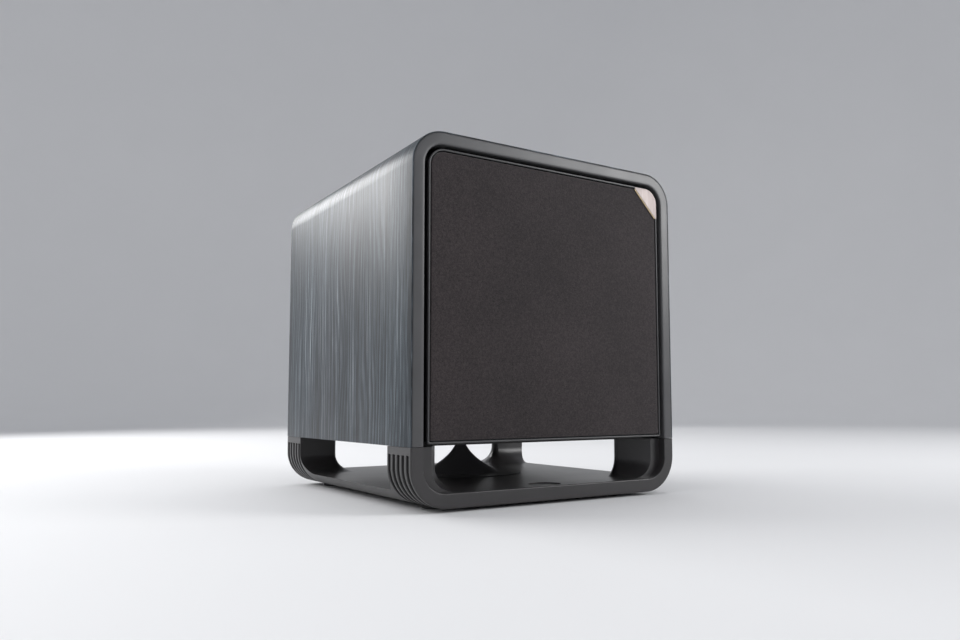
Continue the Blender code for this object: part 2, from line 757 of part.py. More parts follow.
def basket_hole_cutters():
    low, high = BASKET_FRONT - PAST, BASKET_FRONT + PAST
    hole = [(0, low), (BASKET_HOLE, low), (BASKET_HOLE, high), (0, high)]
    return [
        turned(f"basket_hole_{index}", hole, (x, 0, z), steps=8, collection=CUTTERS)
        for index, (x, z) in enumerate(woofer_screw_places())
    ]


def half_roll(inner, outer, base, rise, steps=5):
    """Points over a half roll between two radii, rising towards the front."""
    centre, radius = (inner + outer) / 2, (outer - inner) / 2
    turns = [HALF_TURN * i / steps for i in range(steps + 1)]
    return [(centre - radius * math.cos(turn), base - rise * math.sin(turn)) for turn in turns]


def make_surround():
    """A half-roll edge: its inner lip lies on the cone's rim and its outer lip on the basket's flange."""
    lip_front, lip_back, inner_lip, outer_lip, rise = 0.0282, 0.0294, 0.0875, 0.1140, 0.0070
    front_roll = half_roll(0.0940, 0.1055, lip_front, rise)
    back_roll = half_roll(0.0952, 0.1043, lip_back, rise)
    front = [(inner_lip, lip_front), *front_roll, (outer_lip, lip_front)]
    back = [(outer_lip, lip_back), *reversed(back_roll), (inner_lip, lip_back)]
    on_woofer_axis("woofer_surround", front + back, RUBBER)


def cone_place(radius):
    """How far back the cone's front face lies at a radius."""
    share = (radius - CONE_NECK) / (CONE_EDGE - CONE_NECK)
    return CONE_NECK_PLACE + (CONE_EDGE_PLACE - CONE_NECK_PLACE) * share ** 0.85


def make_cone():
    steps = 5
    radii = [CONE_NECK + (CONE_EDGE - CONE_NECK) * i / steps for i in range(steps + 1)]
    front = [(radius, cone_place(radius)) for radius in radii] + [(CONE_RIM, CONE_EDGE_PLACE - GAP)]
    back = [(radius, place + CONE_PAPER) for radius, place in reversed(front)]
    on_woofer_axis("woofer_cone", front + back, PAPER)


def make_dust_cap():
    rim, depth, shell = 0.034, 0.011, 0.0010
    base = cone_place(rim) - shell
    turns = [QUARTER * i / 4 for i in range(4)]
    front = [(rim * math.cos(t), base - depth * math.sin(t)) for t in turns]
    back = [((rim - shell) * math.cos(t), base - (depth - shell) * math.sin(t)) for t in reversed(turns)]
    on_woofer_axis("dust_cap", [*front, (0, base - depth), (0, base - depth + shell), *back], PAPER, 20)


def make_voice_coil():
    inner, outer, front = 0.0249, 0.0252, 0.0830
    former = [(inner, front), (outer, front), (outer, COIL_BACK), (inner, COIL_BACK)]
    on_woofer_axis("voice_coil_former", former, TEXTILE)
    wound = COIL_RADIUS + 0.0012
    coil = [(COIL_RADIUS, COIL_FRONT), (wound, COIL_FRONT), (wound, COIL_BACK), (COIL_RADIUS, COIL_BACK)]
    on_woofer_axis("voice_coil", coil, COPPER)


def make_spider():
    """A sheet with three round corrugations between the coil former and the basket's ledge."""
    inner, outer, base, ripple, thickness = 0.0262, 0.0590, 0.0979, 0.0010, 0.0007
    steps = 12
    points = []
    for i in range(steps + 1):
        share = i / steps
        wave = ripple * math.sin(6 * HALF_TURN * share) if 0 < share < 0.8 else 0
        points.append((inner + (outer - inner) * share, base + wave))
    back = [(radius, place + thickness) for radius, place in reversed(points)]
    on_woofer_axis("spider", points + back, TEXTILE, 16)


def make_magnet():
    """A ring magnet between the top plate and the yoke, whose vented pole reaches forward through both."""
    front = MAGNET_FRONT
    plate_back = front + TOP_PLATE_THICKNESS
    magnet_back = plate_back + MAGNET_THICKNESS
    yoke_front, yoke_back = magnet_back + GAP, magnet_back + YOKE_THICKNESS
    gap_edge, magnet_bore, edge, chamfer = 0.0277, 0.036, MAGNET_RADIUS - 0.002, 0.002
    top_plate = tube_profile(gap_edge, TOP_PLATE_RADIUS, front, plate_back)
    on_woofer_axis("magnet_top_plate", top_plate, STEEL)
    ring = tube_profile(magnet_bore, MAGNET_RADIUS, plate_back + GAP, magnet_back)
    on_woofer_axis("magnet_ring", ring, FERRITE)
    yoke = [
        (POLE_VENT, front), (POLE_RADIUS, front), (POLE_RADIUS, yoke_front), (edge, yoke_front),
        (edge, yoke_back - chamfer), (edge - chamfer, yoke_back), (POLE_VENT, yoke_back),
    ]
    on_woofer_axis("magnet_yoke", yoke, STEEL)


def tube_profile(inner, outer, low, high):
    return [(inner, low), (outer, low), (outer, high), (inner, high)]


def make_gasket():
    on_woofer_axis("woofer_gasket", tube_profile(0.1065, WOOFER_HOLE + 0.0005, 0.0255, 0.0279), RUBBER)


def make_woofer_screws():
    for index, (x, z) in enumerate(woofer_screw_places()):
        place = (x, BASKET_FRONT - GAP, z)
        screw(f"woofer_screw_{index + 1}", place, "Y", head=0.0045, shank=0.0019, length=0.020)


def make_terminal_block():
    half, depth, height = 0.013, 0.013, 0.008
    tab_x, tab_half, tab_front, tab_thickness, tab_reach = 0.007, 0.002, 0.1036, 0.0008, 0.0160
    front, top = TERMINAL_FRONT, TERMINAL_TOP
    terminal = block("terminal_block", (-half, front, top - height), (half, front + depth, top), BLACK)
    tabs = []
    for sign, side in both_sides():
        low = (sign * tab_x - tab_half, tab_front, top - tab_reach)
        high = (sign * tab_x + tab_half, tab_front + tab_thickness, top - height / 2)
        tabs.append(block(f"tab_{side}", low, high, collection=CUTTERS))
    combine(terminal, tabs, "UNION")


def make_speaker_wires():
    """Two sleeved leads from the woofer's terminals, beside the port, through the brace, to the board."""
    for sign, colour, material in ((-1, "black", BLACK), (1, "red", RED_SLEEVE)):
        board_x = 0.035 + sign * 0.013
        route = [
            (sign * 0.007, 0.1040, 0.1440), (sign * 0.007, 0.1045, 0.1390), (sign * 0.014, 0.1100, 0.1310),
            (sign * 0.034, 0.1380, 0.1260), (sign * 0.056, 0.1740, 0.1290), (sign * 0.062, 0.2200, 0.1370),
            (sign * 0.057, 0.2600, 0.1500), (sign * 0.035 + 0.010, 0.3000, 0.1640),
            (board_x, BOARD_FRONT - 0.0160, 0.1720), (board_x, BOARD_FRONT - 0.0060, 0.1724),
            (board_x, BOARD_FRONT - 2 * GAP, 0.1724),
        ]
        places = smooth_route([Vector(place) for place in route], 4)
        wire(f"speaker_wire_{colour}", places, WIRE_RADIUS, material)


def smooth_route(places, steps):
    """Points read from a smooth curve through the given places."""
    route = []
    for i in range(len(places) - 1):
        before = places[max(i - 1, 0)]
        start, end = places[i], places[i + 1]
        after = places[min(i + 2, len(places) - 1)]
        for step in range(steps):
            t = step / steps
            route.append(0.5 * (
                2 * start + (end - before) * t
                + (2 * before - 5 * start + 4 * end - after) * t ** 2
                + (3 * start - before - 3 * end + after) * t ** 3
            ))
    return [*route, places[-1]]


def wire(name, places, radius, material):
    curve = bpy.data.curves.new(name, "CURVE")
    curve.dimensions = "3D"
    curve.bevel_depth = radius
    curve.bevel_resolution = 0
    curve.use_fill_caps = True
    spline = curve.splines.new("POLY")
    spline.points.add(len(places) - 1)
    for point, place in zip(spline.points, places):
        point.co = (*place, 1)
    return adopt(bpy.data.objects.new(name, curve), material)


# Amplifier
def make_amp_plate():
    pot_hole, jack_hole, led_hole = 0.0038, 0.0048, 0.0020
    holes = [circle(LED_X, LED_Z, led_hole, 8)]
    for x in (CONTROL_LEFT, CONTROL_RIGHT):
        holes.append(circle(x, KNOB_Z, pot_hole, 12))
        holes.append(circle(x, JACK_Z, jack_hole, 12))
        holes.append(rectangle(x, SWITCH_Z, 0.0140, 0.0060))
    holes.append(rectangle(ROCKER_X, MAINS_Z, 0.0130, 0.0200))
    holes.append(rectangle(INLET_X, MAINS_Z, 0.0280, 0.0210))
    outline = rectangle(0, AMP_Z, AMP_WIDTH, AMP_HEIGHT, 0.008)
    plate("amp_plate", [outline, *holes], PLATE_BACK, PLATE_FACE, BLACK_STEEL)


def make_heatsink():
    """A comb-shaped extrusion: a base slab with upright fins that point away from the plate."""
    base, tip = PLATE_FACE + GAP, PLATE_FACE + HEATSINK_DEPTH
    root = base + 0.003
    pitch = (HEATSINK_RIGHT - HEATSINK_LEFT - FIN) / (FIN_COUNT - 1)
    outline = [(HEATSINK_LEFT, base)]
    for index in range(FIN_COUNT):
        x = HEATSINK_LEFT + index * pitch
        if index:
            outline.append((x, root))
        outline += [(x, tip), (x + FIN, tip)]
        if index < FIN_COUNT - 1:
            outline.append((x + FIN, root))
    outline.append((HEATSINK_RIGHT, base))
    plate("heatsink", [outline], AMP_Z - HEATSINK_HALF, AMP_Z + HEATSINK_HALF, ANODISED, axis="Z")


def make_board():
    middle, width, height = 0.052, 0.096, 0.130
    outline = rectangle(middle, AMP_Z, width, height)
    plate("circuit_board", [outline], BOARD_FRONT, BOARD_FRONT + BOARD_THICKNESS, LAMINATE)


def make_transformer():
    inner, outer, half, edge = 0.012, 0.037, 0.014, 0.006
    centre = (-0.055, PLATE_BACK - GAP - half, AMP_Z)
    square = [(inner, -half), (outer, -half), (outer, half), (inner, half)]
    profile = [tuple(point) for point in filleted([(*corner, edge) for corner in square], 2)]
    turned("toroidal_transformer", profile, centre, COPPER, "Y", steps=18)


def make_capacitors():
    x, low, pitch, radius, length, edge = 0.018, 0.184, 0.072, 0.011, 0.026, 0.0015
    start = BOARD_FRONT + BOARD_THICKNESS + GAP
    end = start + length
    profile = [(0, start), (radius, start), (radius, end - 0.002), (radius - edge, end), (0, end)]
    for index in range(2):
        name = f"filter_capacitor_{index + 1}"
        turned(name, profile, (x, 0, low + index * pitch), BLACK, "Y", steps=COARSE)


def make_pot(name, x):
    profile = tube_profile(0.0034, 0.0080, PLATE_BACK - 0.016, PLATE_BACK - GAP)
    turned(name, profile, (x, 0, KNOB_Z), STEEL, "Y", steps=COARSE)


def make_knob(name, x):
    """A knob moulded in one piece with its shaft, with a raised pointer on its face."""
    shaft, skirt, top, face = 0.0030, 0.0095, 0.0090, 0.0080
    pointer_rise, pointer_half = 0.0008, 0.0008
    start, foot, tip = PLATE_BACK - 0.014, PLATE_FACE + GAP, DEPTH + REAR_REACH - pointer_rise
    profile = [
        (0, start), (shaft, start), (shaft, foot), (skirt, foot), (top, tip - 0.001), (face, tip), (0, tip),
    ]
    knob = fixed(turned(name, profile, (x, 0, KNOB_Z), BLACK, "Y", steps=COARSE))
    low = (x - pointer_half, tip - 0.004, KNOB_Z - 0.001)
    high = (x + pointer_half, tip + pointer_rise, KNOB_Z + 0.0078)
    combine(knob, [block(name + "_pointer", low, high, collection=CUTTERS)], "UNION")


def make_slide_switch(body_name, slider_name, x, slider_shift):
    """A slide switch behind the plate: a case with an open pocket, and the slider that stands out of it."""
    half_x, half_z, back, floor = 0.009, 0.0045, PLATE_BACK - 0.0105, PLATE_BACK - 0.0062
    low, high = (x - half_x, back, SWITCH_Z - half_z), (x + half_x, PLATE_BACK - GAP, SWITCH_Z + half_z)
    body = block(body_name, low, high, STEEL)
    low = (x - SLOT_HALF_X, floor, SWITCH_Z - SLOT_HALF_Z)
    high = (x + SLOT_HALF_X, PLATE_BACK + PAST, SWITCH_Z + SLOT_HALF_Z)
    combine(body, [block(body_name + "_pocket", low, high, collection=CUTTERS)])
    middle, half = x + slider_shift, 0.0022
    low = (middle - half, floor + 0.0006, SWITCH_Z - half)
    high = (middle + half, PLATE_FACE + 0.0030, SWITCH_Z + half)
    rounded(block(slider_name, low, high, BLACK), GAP, 1)


def make_jack(name, x):
    """A phono socket: a flanged barrel with an open throat."""
    throat, barrel, flange = 0.0016, 0.0042, 0.0062
    tip, step, seat, back = PLATE_FACE + 0.0085, PLATE_FACE + 0.0022, PLATE_FACE + GAP, PLATE_BACK - 0.0100
    profile = [
        (throat, tip), (barrel, tip), (barrel, step), (flange, step),
        (flange, seat), (barrel, seat), (barrel, back), (throat, back),
    ]
    turned(name, profile, (x, 0, JACK_Z), STEEL, "Y", steps=14)


def around(x, z, half_x, low, half_z, high):
    """The lowest and the highest corner of a block centred on a place on the plate."""
    return (x - half_x, low, z - half_z), (x + half_x, high, z + half_z)


def make_rocker_switch():
    """A flanged housing whose well holds the rocker, which rests tipped to one side."""
    outer = rectangle(ROCKER_X, MAINS_Z, 0.0150, 0.0220)
    housing = plate("mains_switch_housing", [outer], PLATE_FACE + GAP, PLATE_FACE + 0.0020, BLACK)
    shell = around(ROCKER_X, MAINS_Z, 0.0062, PLATE_BACK - 0.012, 0.0097, PLATE_FACE + 0.0012)
    well = around(ROCKER_X, MAINS_Z, 0.0050, PLATE_BACK - 0.0075, 0.0084, PLATE_FACE + 2 * PAST)
    combine(housing, [block("switch_shell", *shell, collection=CUTTERS)], "UNION")
    combine(housing, [block("switch_well", *well, collection=CUTTERS)])
    pivot = PLATE_FACE - 0.0010
    back, front, dip, half, half_x = -0.0042, 0.0040, 0.0026, 0.0075, 0.0045
    outline = [(-half, back), (half, back), (half, front), (0, dip), (-half, front)]
    tipped = [turn_point(z, y, ROCKER_TILT) for z, y in outline]
    side = [Vector((pivot + y, MAINS_Z + z)) for z, y in tipped]
    plate("mains_rocker", [side], ROCKER_X - half_x, ROCKER_X + half_x, BLACK, axis="X")


def turn_point(a, b, turn):
    return a * math.cos(turn) - b * math.sin(turn), a * math.sin(turn) + b * math.cos(turn)


def make_inlet():
    """A three-pin mains inlet: a flanged housing with a six-sided well and three flat pins."""
    flange = rectangle(INLET_X, MAINS_Z, 0.0330, 0.0260, 0.002, 2)
    inlet = plate("mains_inlet", [flange], PLATE_FACE + GAP, PLATE_FACE + 0.0028, BLACK)
    shell = around(INLET_X, MAINS_Z, 0.0136, PLATE_BACK - 0.018, 0.0101, PLATE_FACE + 0.0015)
    half_x, half_z, chamfer = 0.0120, 0.0085, 0.004
    outline = [
        (-half_x, -half_z), (half_x, -half_z), (half_x, half_z - chamfer), (half_x - chamfer, half_z),
        (-half_x + chamfer, half_z), (-half_x, half_z - chamfer),
    ]
    opening = [Vector((INLET_X + x, MAINS_Z + z)) for x, z in outline]
    well = plate("inlet_well", [opening], PLATE_BACK - 0.0150, PLATE_FACE + 2 * PAST, collection=CUTTERS)
    pins = []
    for index, (x, z) in enumerate(((-0.0070, -0.0010), (0, 0.0030), (0.0070, -0.0010))):
        pin = around(INLET_X + x, MAINS_Z + z, 0.0010, PLATE_BACK - 0.0165, 0.0020, PLATE_FACE - 0.0020)
        pins.append(block(f"pin_{index}", *pin, collection=CUTTERS))
    combine(inlet, [block("inlet_shell", *shell, collection=CUTTERS)], "UNION")
    combine(inlet, [well])
    combine(inlet, pins, "UNION")


def make_led():
    back, shoulder, tip = PLATE_BACK - 0.003, PLATE_FACE + 0.0006, PLATE_FACE + 0.0016
    profile = [(0, back), (0.0015, back), (0.0015, shoulder), (0.0008, tip - 0.0002), (0, tip)]
    turned("status_led", profile, (LED_X, 0, LED_Z), LENS, "Y", steps=8)


def make_amplifier():
    make_amp_plate()
    make_heatsink()
    make_board()
    make_transformer()
    make_capacitors()
    make_pot("volume_pot", CONTROL_LEFT)
    make_pot("lowpass_pot", CONTROL_RIGHT)
    make_knob("volume_knob", CONTROL_LEFT)
    make_knob("lowpass_knob", CONTROL_RIGHT)
    make_slide_switch("phase_switch_body", "phase_slider", CONTROL_LEFT, -0.0020)
    make_slide_switch("mode_switch_body", "mode_slider", CONTROL_RIGHT, 0)
    make_jack("line_jack_left", CONTROL_LEFT)
    make_jack("line_jack_right", CONTROL_RIGHT)
    make_rocker_switch()
    make_inlet()
    make_led()


def make_woofer():
    make_basket()
    make_surround()
    make_cone()
    make_dust_cap()
    make_voice_coil()
    make_spider()
    make_magnet()
    make_gasket()
    make_woofer_screws()
    make_terminal_block()
    make_speaker_wires()


def make_enclosure():
    make_wrap()
    make_bottom_panel()
    make_baffle()
    make_rear_panel()
    make_brace()
    make_wadding()


def make_base():
    make_plinth()
    make_feet()
    make_base_screws()
    make_diffuser()
    make_port_mouth()
    make_port_tube()


def make_front():
    make_bezel()
    make_grille_frame()
    make_grille_cloth()
    make_badge()


make_enclosure()
make_base()
make_front()
make_woofer()
make_amplifier()
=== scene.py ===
"""The looks of a powered subwoofer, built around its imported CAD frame.

Units are metres, +Z is up and the front faces -Y. Pieces are drawn in the cabinet's own measures, where y = 0
is the front plane and z = 0 the underside of the base, and then moved into the row frame.
"""

import math

import bmesh
import bpy
from mathutils import Matrix, Vector, noise


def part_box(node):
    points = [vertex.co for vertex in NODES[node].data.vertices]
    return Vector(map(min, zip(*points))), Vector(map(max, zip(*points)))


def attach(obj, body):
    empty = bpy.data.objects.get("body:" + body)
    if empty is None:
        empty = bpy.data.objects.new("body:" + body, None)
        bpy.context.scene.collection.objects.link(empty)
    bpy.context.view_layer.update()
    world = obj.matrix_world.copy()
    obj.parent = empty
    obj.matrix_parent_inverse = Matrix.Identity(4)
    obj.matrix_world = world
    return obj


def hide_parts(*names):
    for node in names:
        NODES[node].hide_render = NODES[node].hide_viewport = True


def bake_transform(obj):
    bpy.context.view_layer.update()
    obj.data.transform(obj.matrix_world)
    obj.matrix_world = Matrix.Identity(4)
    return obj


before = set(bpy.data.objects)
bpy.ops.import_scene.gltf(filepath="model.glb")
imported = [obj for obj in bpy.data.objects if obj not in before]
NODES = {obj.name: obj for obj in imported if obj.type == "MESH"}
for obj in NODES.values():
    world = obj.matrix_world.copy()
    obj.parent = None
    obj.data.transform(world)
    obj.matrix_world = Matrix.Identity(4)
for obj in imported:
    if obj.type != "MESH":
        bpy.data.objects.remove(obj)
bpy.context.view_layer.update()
BASE_LOW, BASE_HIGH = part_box("base_plinth")
FRONT = BASE_LOW.y
BOTTOM = BASE_LOW.z
SHIFT = Vector((0, FRONT, BOTTOM))


def inner(node):
    """A CAD node's lowest and highest corners in the cabinet's own measures."""
    low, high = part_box(node)
    return low - SHIFT, high - SHIFT


# Driving dimensions, from the frame
HALF = BASE_HIGH.x
HEIGHT = inner("cabinet_wrap")[1].z
DEPTH = BASE_HIGH.y - FRONT
BASE_TOP = BASE_HIGH.z - BOTTOM
GAP = 0.0003
TOP_RADIUS = 0.038
BOTTOM_RADIUS = 0.043
WALL = 0.015

# Front
BEZEL_LIP = 0.0012
BEZEL_DEPTH = 0.0177
APERTURE_HALF = 0.167
GRILLE_LOW, GRILLE_HIGH = inner("grille_cloth")
GRILLE_FRONT = GRILLE_LOW.y
GRILLE_RADIUS = 0.0195
GRILLE_FOOT_RADIUS = 0.003
GROOVE_OUTER = 0.0023
GROOVE_INNER = 0.0042

# Base
FLOOR = 0.016
RIM_DEPTH = 0.010
LEG_FACE = 0.153
LEG_INNER = 0.124
LEG_DEPTH = 0.057
LEG_CORNER = 0.007
LEG_FILLET = 0.024
FRONT_SPREAD = 0.42
REAR_SPREAD = 1.29
GROOVE_COUNT = 5
GROOVE_WIDTH = 0.0058
GROOVE_PITCH = 0.0110
GROOVE_START = 0.005
GROOVE_DEPTH = 0.003
GROOVE_TOP = 0.0557
RIB_ROUNDING = 0.0011
SKIN_ROUNDING = 0.0020
RIM_ROUNDING = 0.0018
SCREW_X, SCREW_INSET = 0.147, 0.037
SCREW_SEAT = 0.0297
FOOT_X, FOOT_INSET = 0.128, 0.048
FOOT_PLUG_TOP = 0.0070
PORT_Y = 0.221
PORT_BORE = 0.038
PORT_WALL = 0.0025
PORT_NECK = 0.104
PORT_MOUTH = 0.072

# Woofer and amplifier
WOOFER_Z = 0.223
WOOFER = (0, 0, WOOFER_Z)
CONE_NECK = 0.0258
CONE_EDGE = 0.0860
CONE_NECK_PLACE = 0.0840
CONE_EDGE_PLACE = 0.0306
BASKET_FACE = 0.0297
BASKET_SCREW_CIRCLE = 0.121
LEAD_RADIUS = 0.0013
PLATE_BACK = DEPTH + GAP
PLATE_FACE = PLATE_BACK + 0.0025
PLATE_Z = 0.223
CONTROL_LEFT = 0.036
CONTROL_RIGHT = 0.082
KNOB_Z = 0.286
LED_Z = 0.306
JACK_Z = 0.222
MAINS_Z = 0.158
ROCKER_X = 0.026
BOARD_FACE = 0.3536

# Screws, as (head radius, shank radius, length)
BASE_SCREW = (0.0048, 0.0021, 0.045)
BASKET_SCREW = (0.0045, 0.0019, 0.020)
PLATE_SCREW = (0.0038, 0.0016, 0.012)

QUARTER = math.pi / 2
FULL = 2 * math.pi
PALE = (0.80, 0.80, 0.805)


# Outlines
def arc(a, b, radii, start, sweep, steps, skip=0):
    """Points round (a, b) from a start angle over a sweep, without the first few if some are skipped."""
    radius_a, radius_b = radii if isinstance(radii, tuple) else (radii, radii)
    turns = [start + sweep * i / steps for i in range(skip, steps + 1)]
    return [(a + radius_a * math.cos(turn), b + radius_b * math.sin(turn)) for turn in turns]


def circle(a, b, radius, steps=32):
    return arc(a, b, radius, 0, FULL, steps)[:-1]


def filleted(corners, steps=8):
    """The outline through (x, y, radius) corners, each rounded to its radius."""
    outline = []
    count = len(corners)
    for i, (x, y, radius) in enumerate(corners):
        here = Vector((x, y))
        if radius == 0:
            outline.append(here)
            continue
        back = (Vector(corners[i - 1][:2]) - here).normalized()
        ahead = (Vector(corners[(i + 1) % count][:2]) - here).normalized()
        half_angle = back.angle(ahead) / 2
        centre = here + (back + ahead).normalized() * radius / math.sin(half_angle)
        start = here + back * radius / math.tan(half_angle) - centre
        sweep = start.angle_signed(here + ahead * radius / math.tan(half_angle) - centre)
        outline += [centre + turned_by(start, -sweep * step / steps) for step in range(steps + 1)]
    return outline


def turned_by(vector, angle):
    """A 2D vector turned about the origin."""
    cos, sin = math.cos(angle), math.sin(angle)
    return Vector((vector.x * cos - vector.y * sin, vector.x * sin + vector.y * cos))


def rectangle(left, right, low, high, low_radius, high_radius, steps=8):
    """A rounded rectangle, with one radius for its two lower corners and one for its upper ones."""
    return filleted([
        (left, low, low_radius), (right, low, low_radius),
        (right, high, high_radius), (left, high, high_radius),
    ], steps)


def arch_path(half, low, high, radius, steps):
    """(x, z, inward x, inward z) along an arch, from the foot of its left leg to its right one's."""
    path = [(-half, low, 1, 0)]
    for side in (-1, 1):
        for step in range(steps + 1):
            turn = QUARTER * (step if side < 0 else steps - step) / steps
            out_x, out_z = side * math.cos(turn), math.sin(turn)
            x, z = side * (half - radius) + radius * out_x, high - radius + radius * out_z
            path.append((x, z, -out_x, -out_z))
    return [*path, (half, low, -1, 0)]


def four_corners(side_x, inset):
    return [(sign * side_x, y) for y in (inset, DEPTH - inset) for sign in (-1, 1)]


# Meshes
def linked(name, data):
    """A new object in the scene."""
    obj = bpy.data.objects.new(name, data)
    bpy.context.scene.collection.objects.link(obj)
    return obj


def mesh_object(name, form, material=None):
    """An object with this bmesh as its mesh, moved into the row frame."""
    mesh = bpy.data.meshes.new(name)
    bmesh.ops.recalc_face_normals(form, faces=form.faces)
    form.to_mesh(mesh)
    form.free()
    mesh.transform(Matrix.Translation(SHIFT))
    if material is not None:
        mesh.materials.append(material)
    return linked(name, mesh)


def smooth(obj, angle=35):
    obj.data.shade_smooth()
    obj.data.set_sharp_from_angle(angle=math.radians(angle))
    return obj


def weighted(obj):
    """Shading normals weighted by face size, so that flat faces stay flat next to small roundings."""
    modifier = obj.modifiers.new("weighted_normal", "WEIGHTED_NORMAL")
    modifier.keep_sharp = True
    return obj


def loft(rings, closed=False, form=None, caps=(0, -1)):
    """A bmesh through rings of equally many 3D points, capped at its ends unless the rings close up."""
    form = form or bmesh.new()
    levels = [[form.verts.new(point) for point in ring] for ring in rings]
    pairs = list(zip(levels, levels[1:]))
    if closed:
        pairs.append((levels[-1], levels[0]))
        caps = ()
    for lower, upper in pairs:
        for i in range(len(lower)):
            form.faces.new((lower[i - 1], lower[i], upper[i], upper[i - 1]))
    for end in caps:
        form.faces.new(levels[end])
    return form


def flat_prism(outline, low, high, axis="Y", form=None):
    """A bmesh between two copies of an outline, (x, z) for axis Y, (x, y) for axis Z."""
    def at(point, level):
        return (point[0], level, point[1]) if axis == "Y" else (point[0], point[1], level)
    return loft([[at(point, level) for point in outline] for level in (low, high)], form=form)


def swept(path, section):
    """A bmesh that carries a closed section of (inset, y) points along a path."""
    return loft([
        [(x + in_x * inset, y, z + in_z * inset) for inset, y in section] for x, z, in_x, in_z in path
    ])


def turned_place(radius, place, turn, centre, along="Y"):
    """The point at a radius and a turn round an axis through the centre, and a place along it."""
    across, aside = radius * math.cos(turn), radius * math.sin(turn)
    offset = (across, aside, place) if along == "Z" else (across, place, aside)
    return Vector(centre) + Vector(offset)


def lathe(name, profile, centre, material, steps=64, along="Y"):
    """A turned object from (radius, place) points. Its ends close on the axis or onto each other."""
    form = bmesh.new()
    turns = [FULL * i / steps for i in range(steps)]
    rings = []
    for radius, place in profile:
        around = turns if radius > 1e-7 else [0]
        rings.append([form.verts.new(turned_place(radius, place, turn, centre, along)) for turn in around])
    pairs = list(zip(rings, rings[1:]))
    if len(rings[0]) > 1 and len(rings[-1]) > 1:
        pairs.append((rings[-1], rings[0]))
    for lower, upper in pairs:
        for i in range(steps):
            around = ((lower, i - 1), (lower, i), (upper, i), (upper, i - 1))
            corners = list(dict.fromkeys(ring[at % len(ring)] for ring, at in around))
            if len(corners) > 2:
                form.faces.new(corners)
    return smooth(mesh_object(name, form, material))


def apply_modifiers(obj):
    bpy.context.view_layer.update()
    evaluated = obj.evaluated_get(bpy.context.evaluated_depsgraph_get())
    mesh = bpy.data.meshes.new_from_object(evaluated)
    obj.modifiers.clear()
    obj.data = mesh


def cut(obj, form):
    """Cuts a bmesh out of an object."""
    cutter = mesh_object(obj.name + "_cutter", form)
    modifier = obj.modifiers.new("boolean", "BOOLEAN")
    modifier.operation = "DIFFERENCE"
    modifier.solver = "EXACT"
    modifier.object = cutter
    apply_modifiers(obj)
    bpy.data.objects.remove(cutter, do_unlink=True)


def round_edges(mesh, radius, segments=3, least_angle=0.5, flatness=0.01, merge=0.0,
                chosen=lambda place: True):
    """Rounds a mesh's sharp edges whose ends both pass a test on their place in the cabinet's measures."""
    form = bmesh.new()
    form.from_mesh(mesh)
    if merge:
        bmesh.ops.remove_doubles(form, verts=form.verts, dist=merge)
    bmesh.ops.dissolve_limit(form, angle_limit=flatness, verts=form.verts, edges=form.edges)
    edges = [
        edge for edge in form.edges
        if len(edge.link_faces) == 2
        and edge.calc_face_angle() > least_angle
        and all(chosen(vertex.co - SHIFT) for vertex in edge.verts)
    ]
    bmesh.ops.bevel(
        form, geom=edges, offset=radius, segments=segments, profile=0.5, affect="EDGES", clamp_overlap=True,
    )
    form.to_mesh(mesh)
    form.free()


def tube_section(inside, outside, low, high, edge=0.0006, steps=3):
    """(radius, place) points round a tube's wall, with all four edges rounded."""
    corners = ((inside + edge, low + edge), (outside - edge, low + edge),
               (outside - edge, high - edge), (inside + edge, high - edge))
    points = []
    for i, corner in enumerate(corners):
        points += arc(*corner, edge, (i + 2) * QUARTER, QUARTER, steps)
    return points


# Pieces
def piece(obj, *nodes, body="cabinet", slot=None):
    """Attaches a piece to its body and hides the CAD nodes it stands for. Its slot is not used."""
    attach(obj, body)
    if nodes:
        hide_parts(*nodes)
    return obj


def turned(name, profile, centre, material, steps, *nodes, along="Y", **says):
    """A turned piece."""
    return piece(lathe(name, profile, centre, material, steps, along), *nodes, **says)


def coat(mesh, material):
    mesh.materials.clear()
    mesh.materials.append(material)
    for polygon in mesh.polygons:
        polygon.material_index = 0


def rounded_copy(name, node, material, radius):
    """A copy of a CAD node's mesh with its sharp edges rounded."""
    mesh = NODES[node].data.copy()
    mesh.transform(NODES[node].matrix_world)
    round_edges(mesh, radius, 2, 0.55, 0.02, 0.00001)
    coat(mesh, material)
    return smooth(linked(name, mesh))


def softened(name, node, material, radius=0.0003):
    """A piece with rounded edges that stands for a CAD node."""
    return piece(weighted(rounded_copy(name, node, material, radius)), node)


def screw(name, place, along, way, head, shank, length, material, *nodes):
    """A pan-head cross-recess screw. The head's underside is at place, and the shank points the given way."""
    top, arm, width = head * 0.5, head * 0.52, head * 0.13
    dome = arc(0, -top * 0.35, (head, -top * 0.65), QUARTER, -QUARTER, 6, skip=1)
    profile = [(0, -top), *dome, (head, -0.0001), (shank, 0), (shank, length - shank), (0, length)]
    made = lathe(name, [(radius, way * at) for radius, at in profile], place, material, 28, along)
    x, y, z = place
    across, middle = (y, z) if along == "Z" else (z, y)
    cross = [
        (x + a * cos - b * sin, across + a * sin + b * cos)
        for cos, sin in ((1, 0), (0, 1), (-1, 0), (0, -1))
        for a, b in ((arm, width), (width, width), (width, arm))
    ]
    ends = sorted((middle - way * top * 0.45, middle - way * (top + 0.01)))
    cut(made, flat_prism(cross, *ends, along))
    return piece(smooth(made, 40), *nodes)


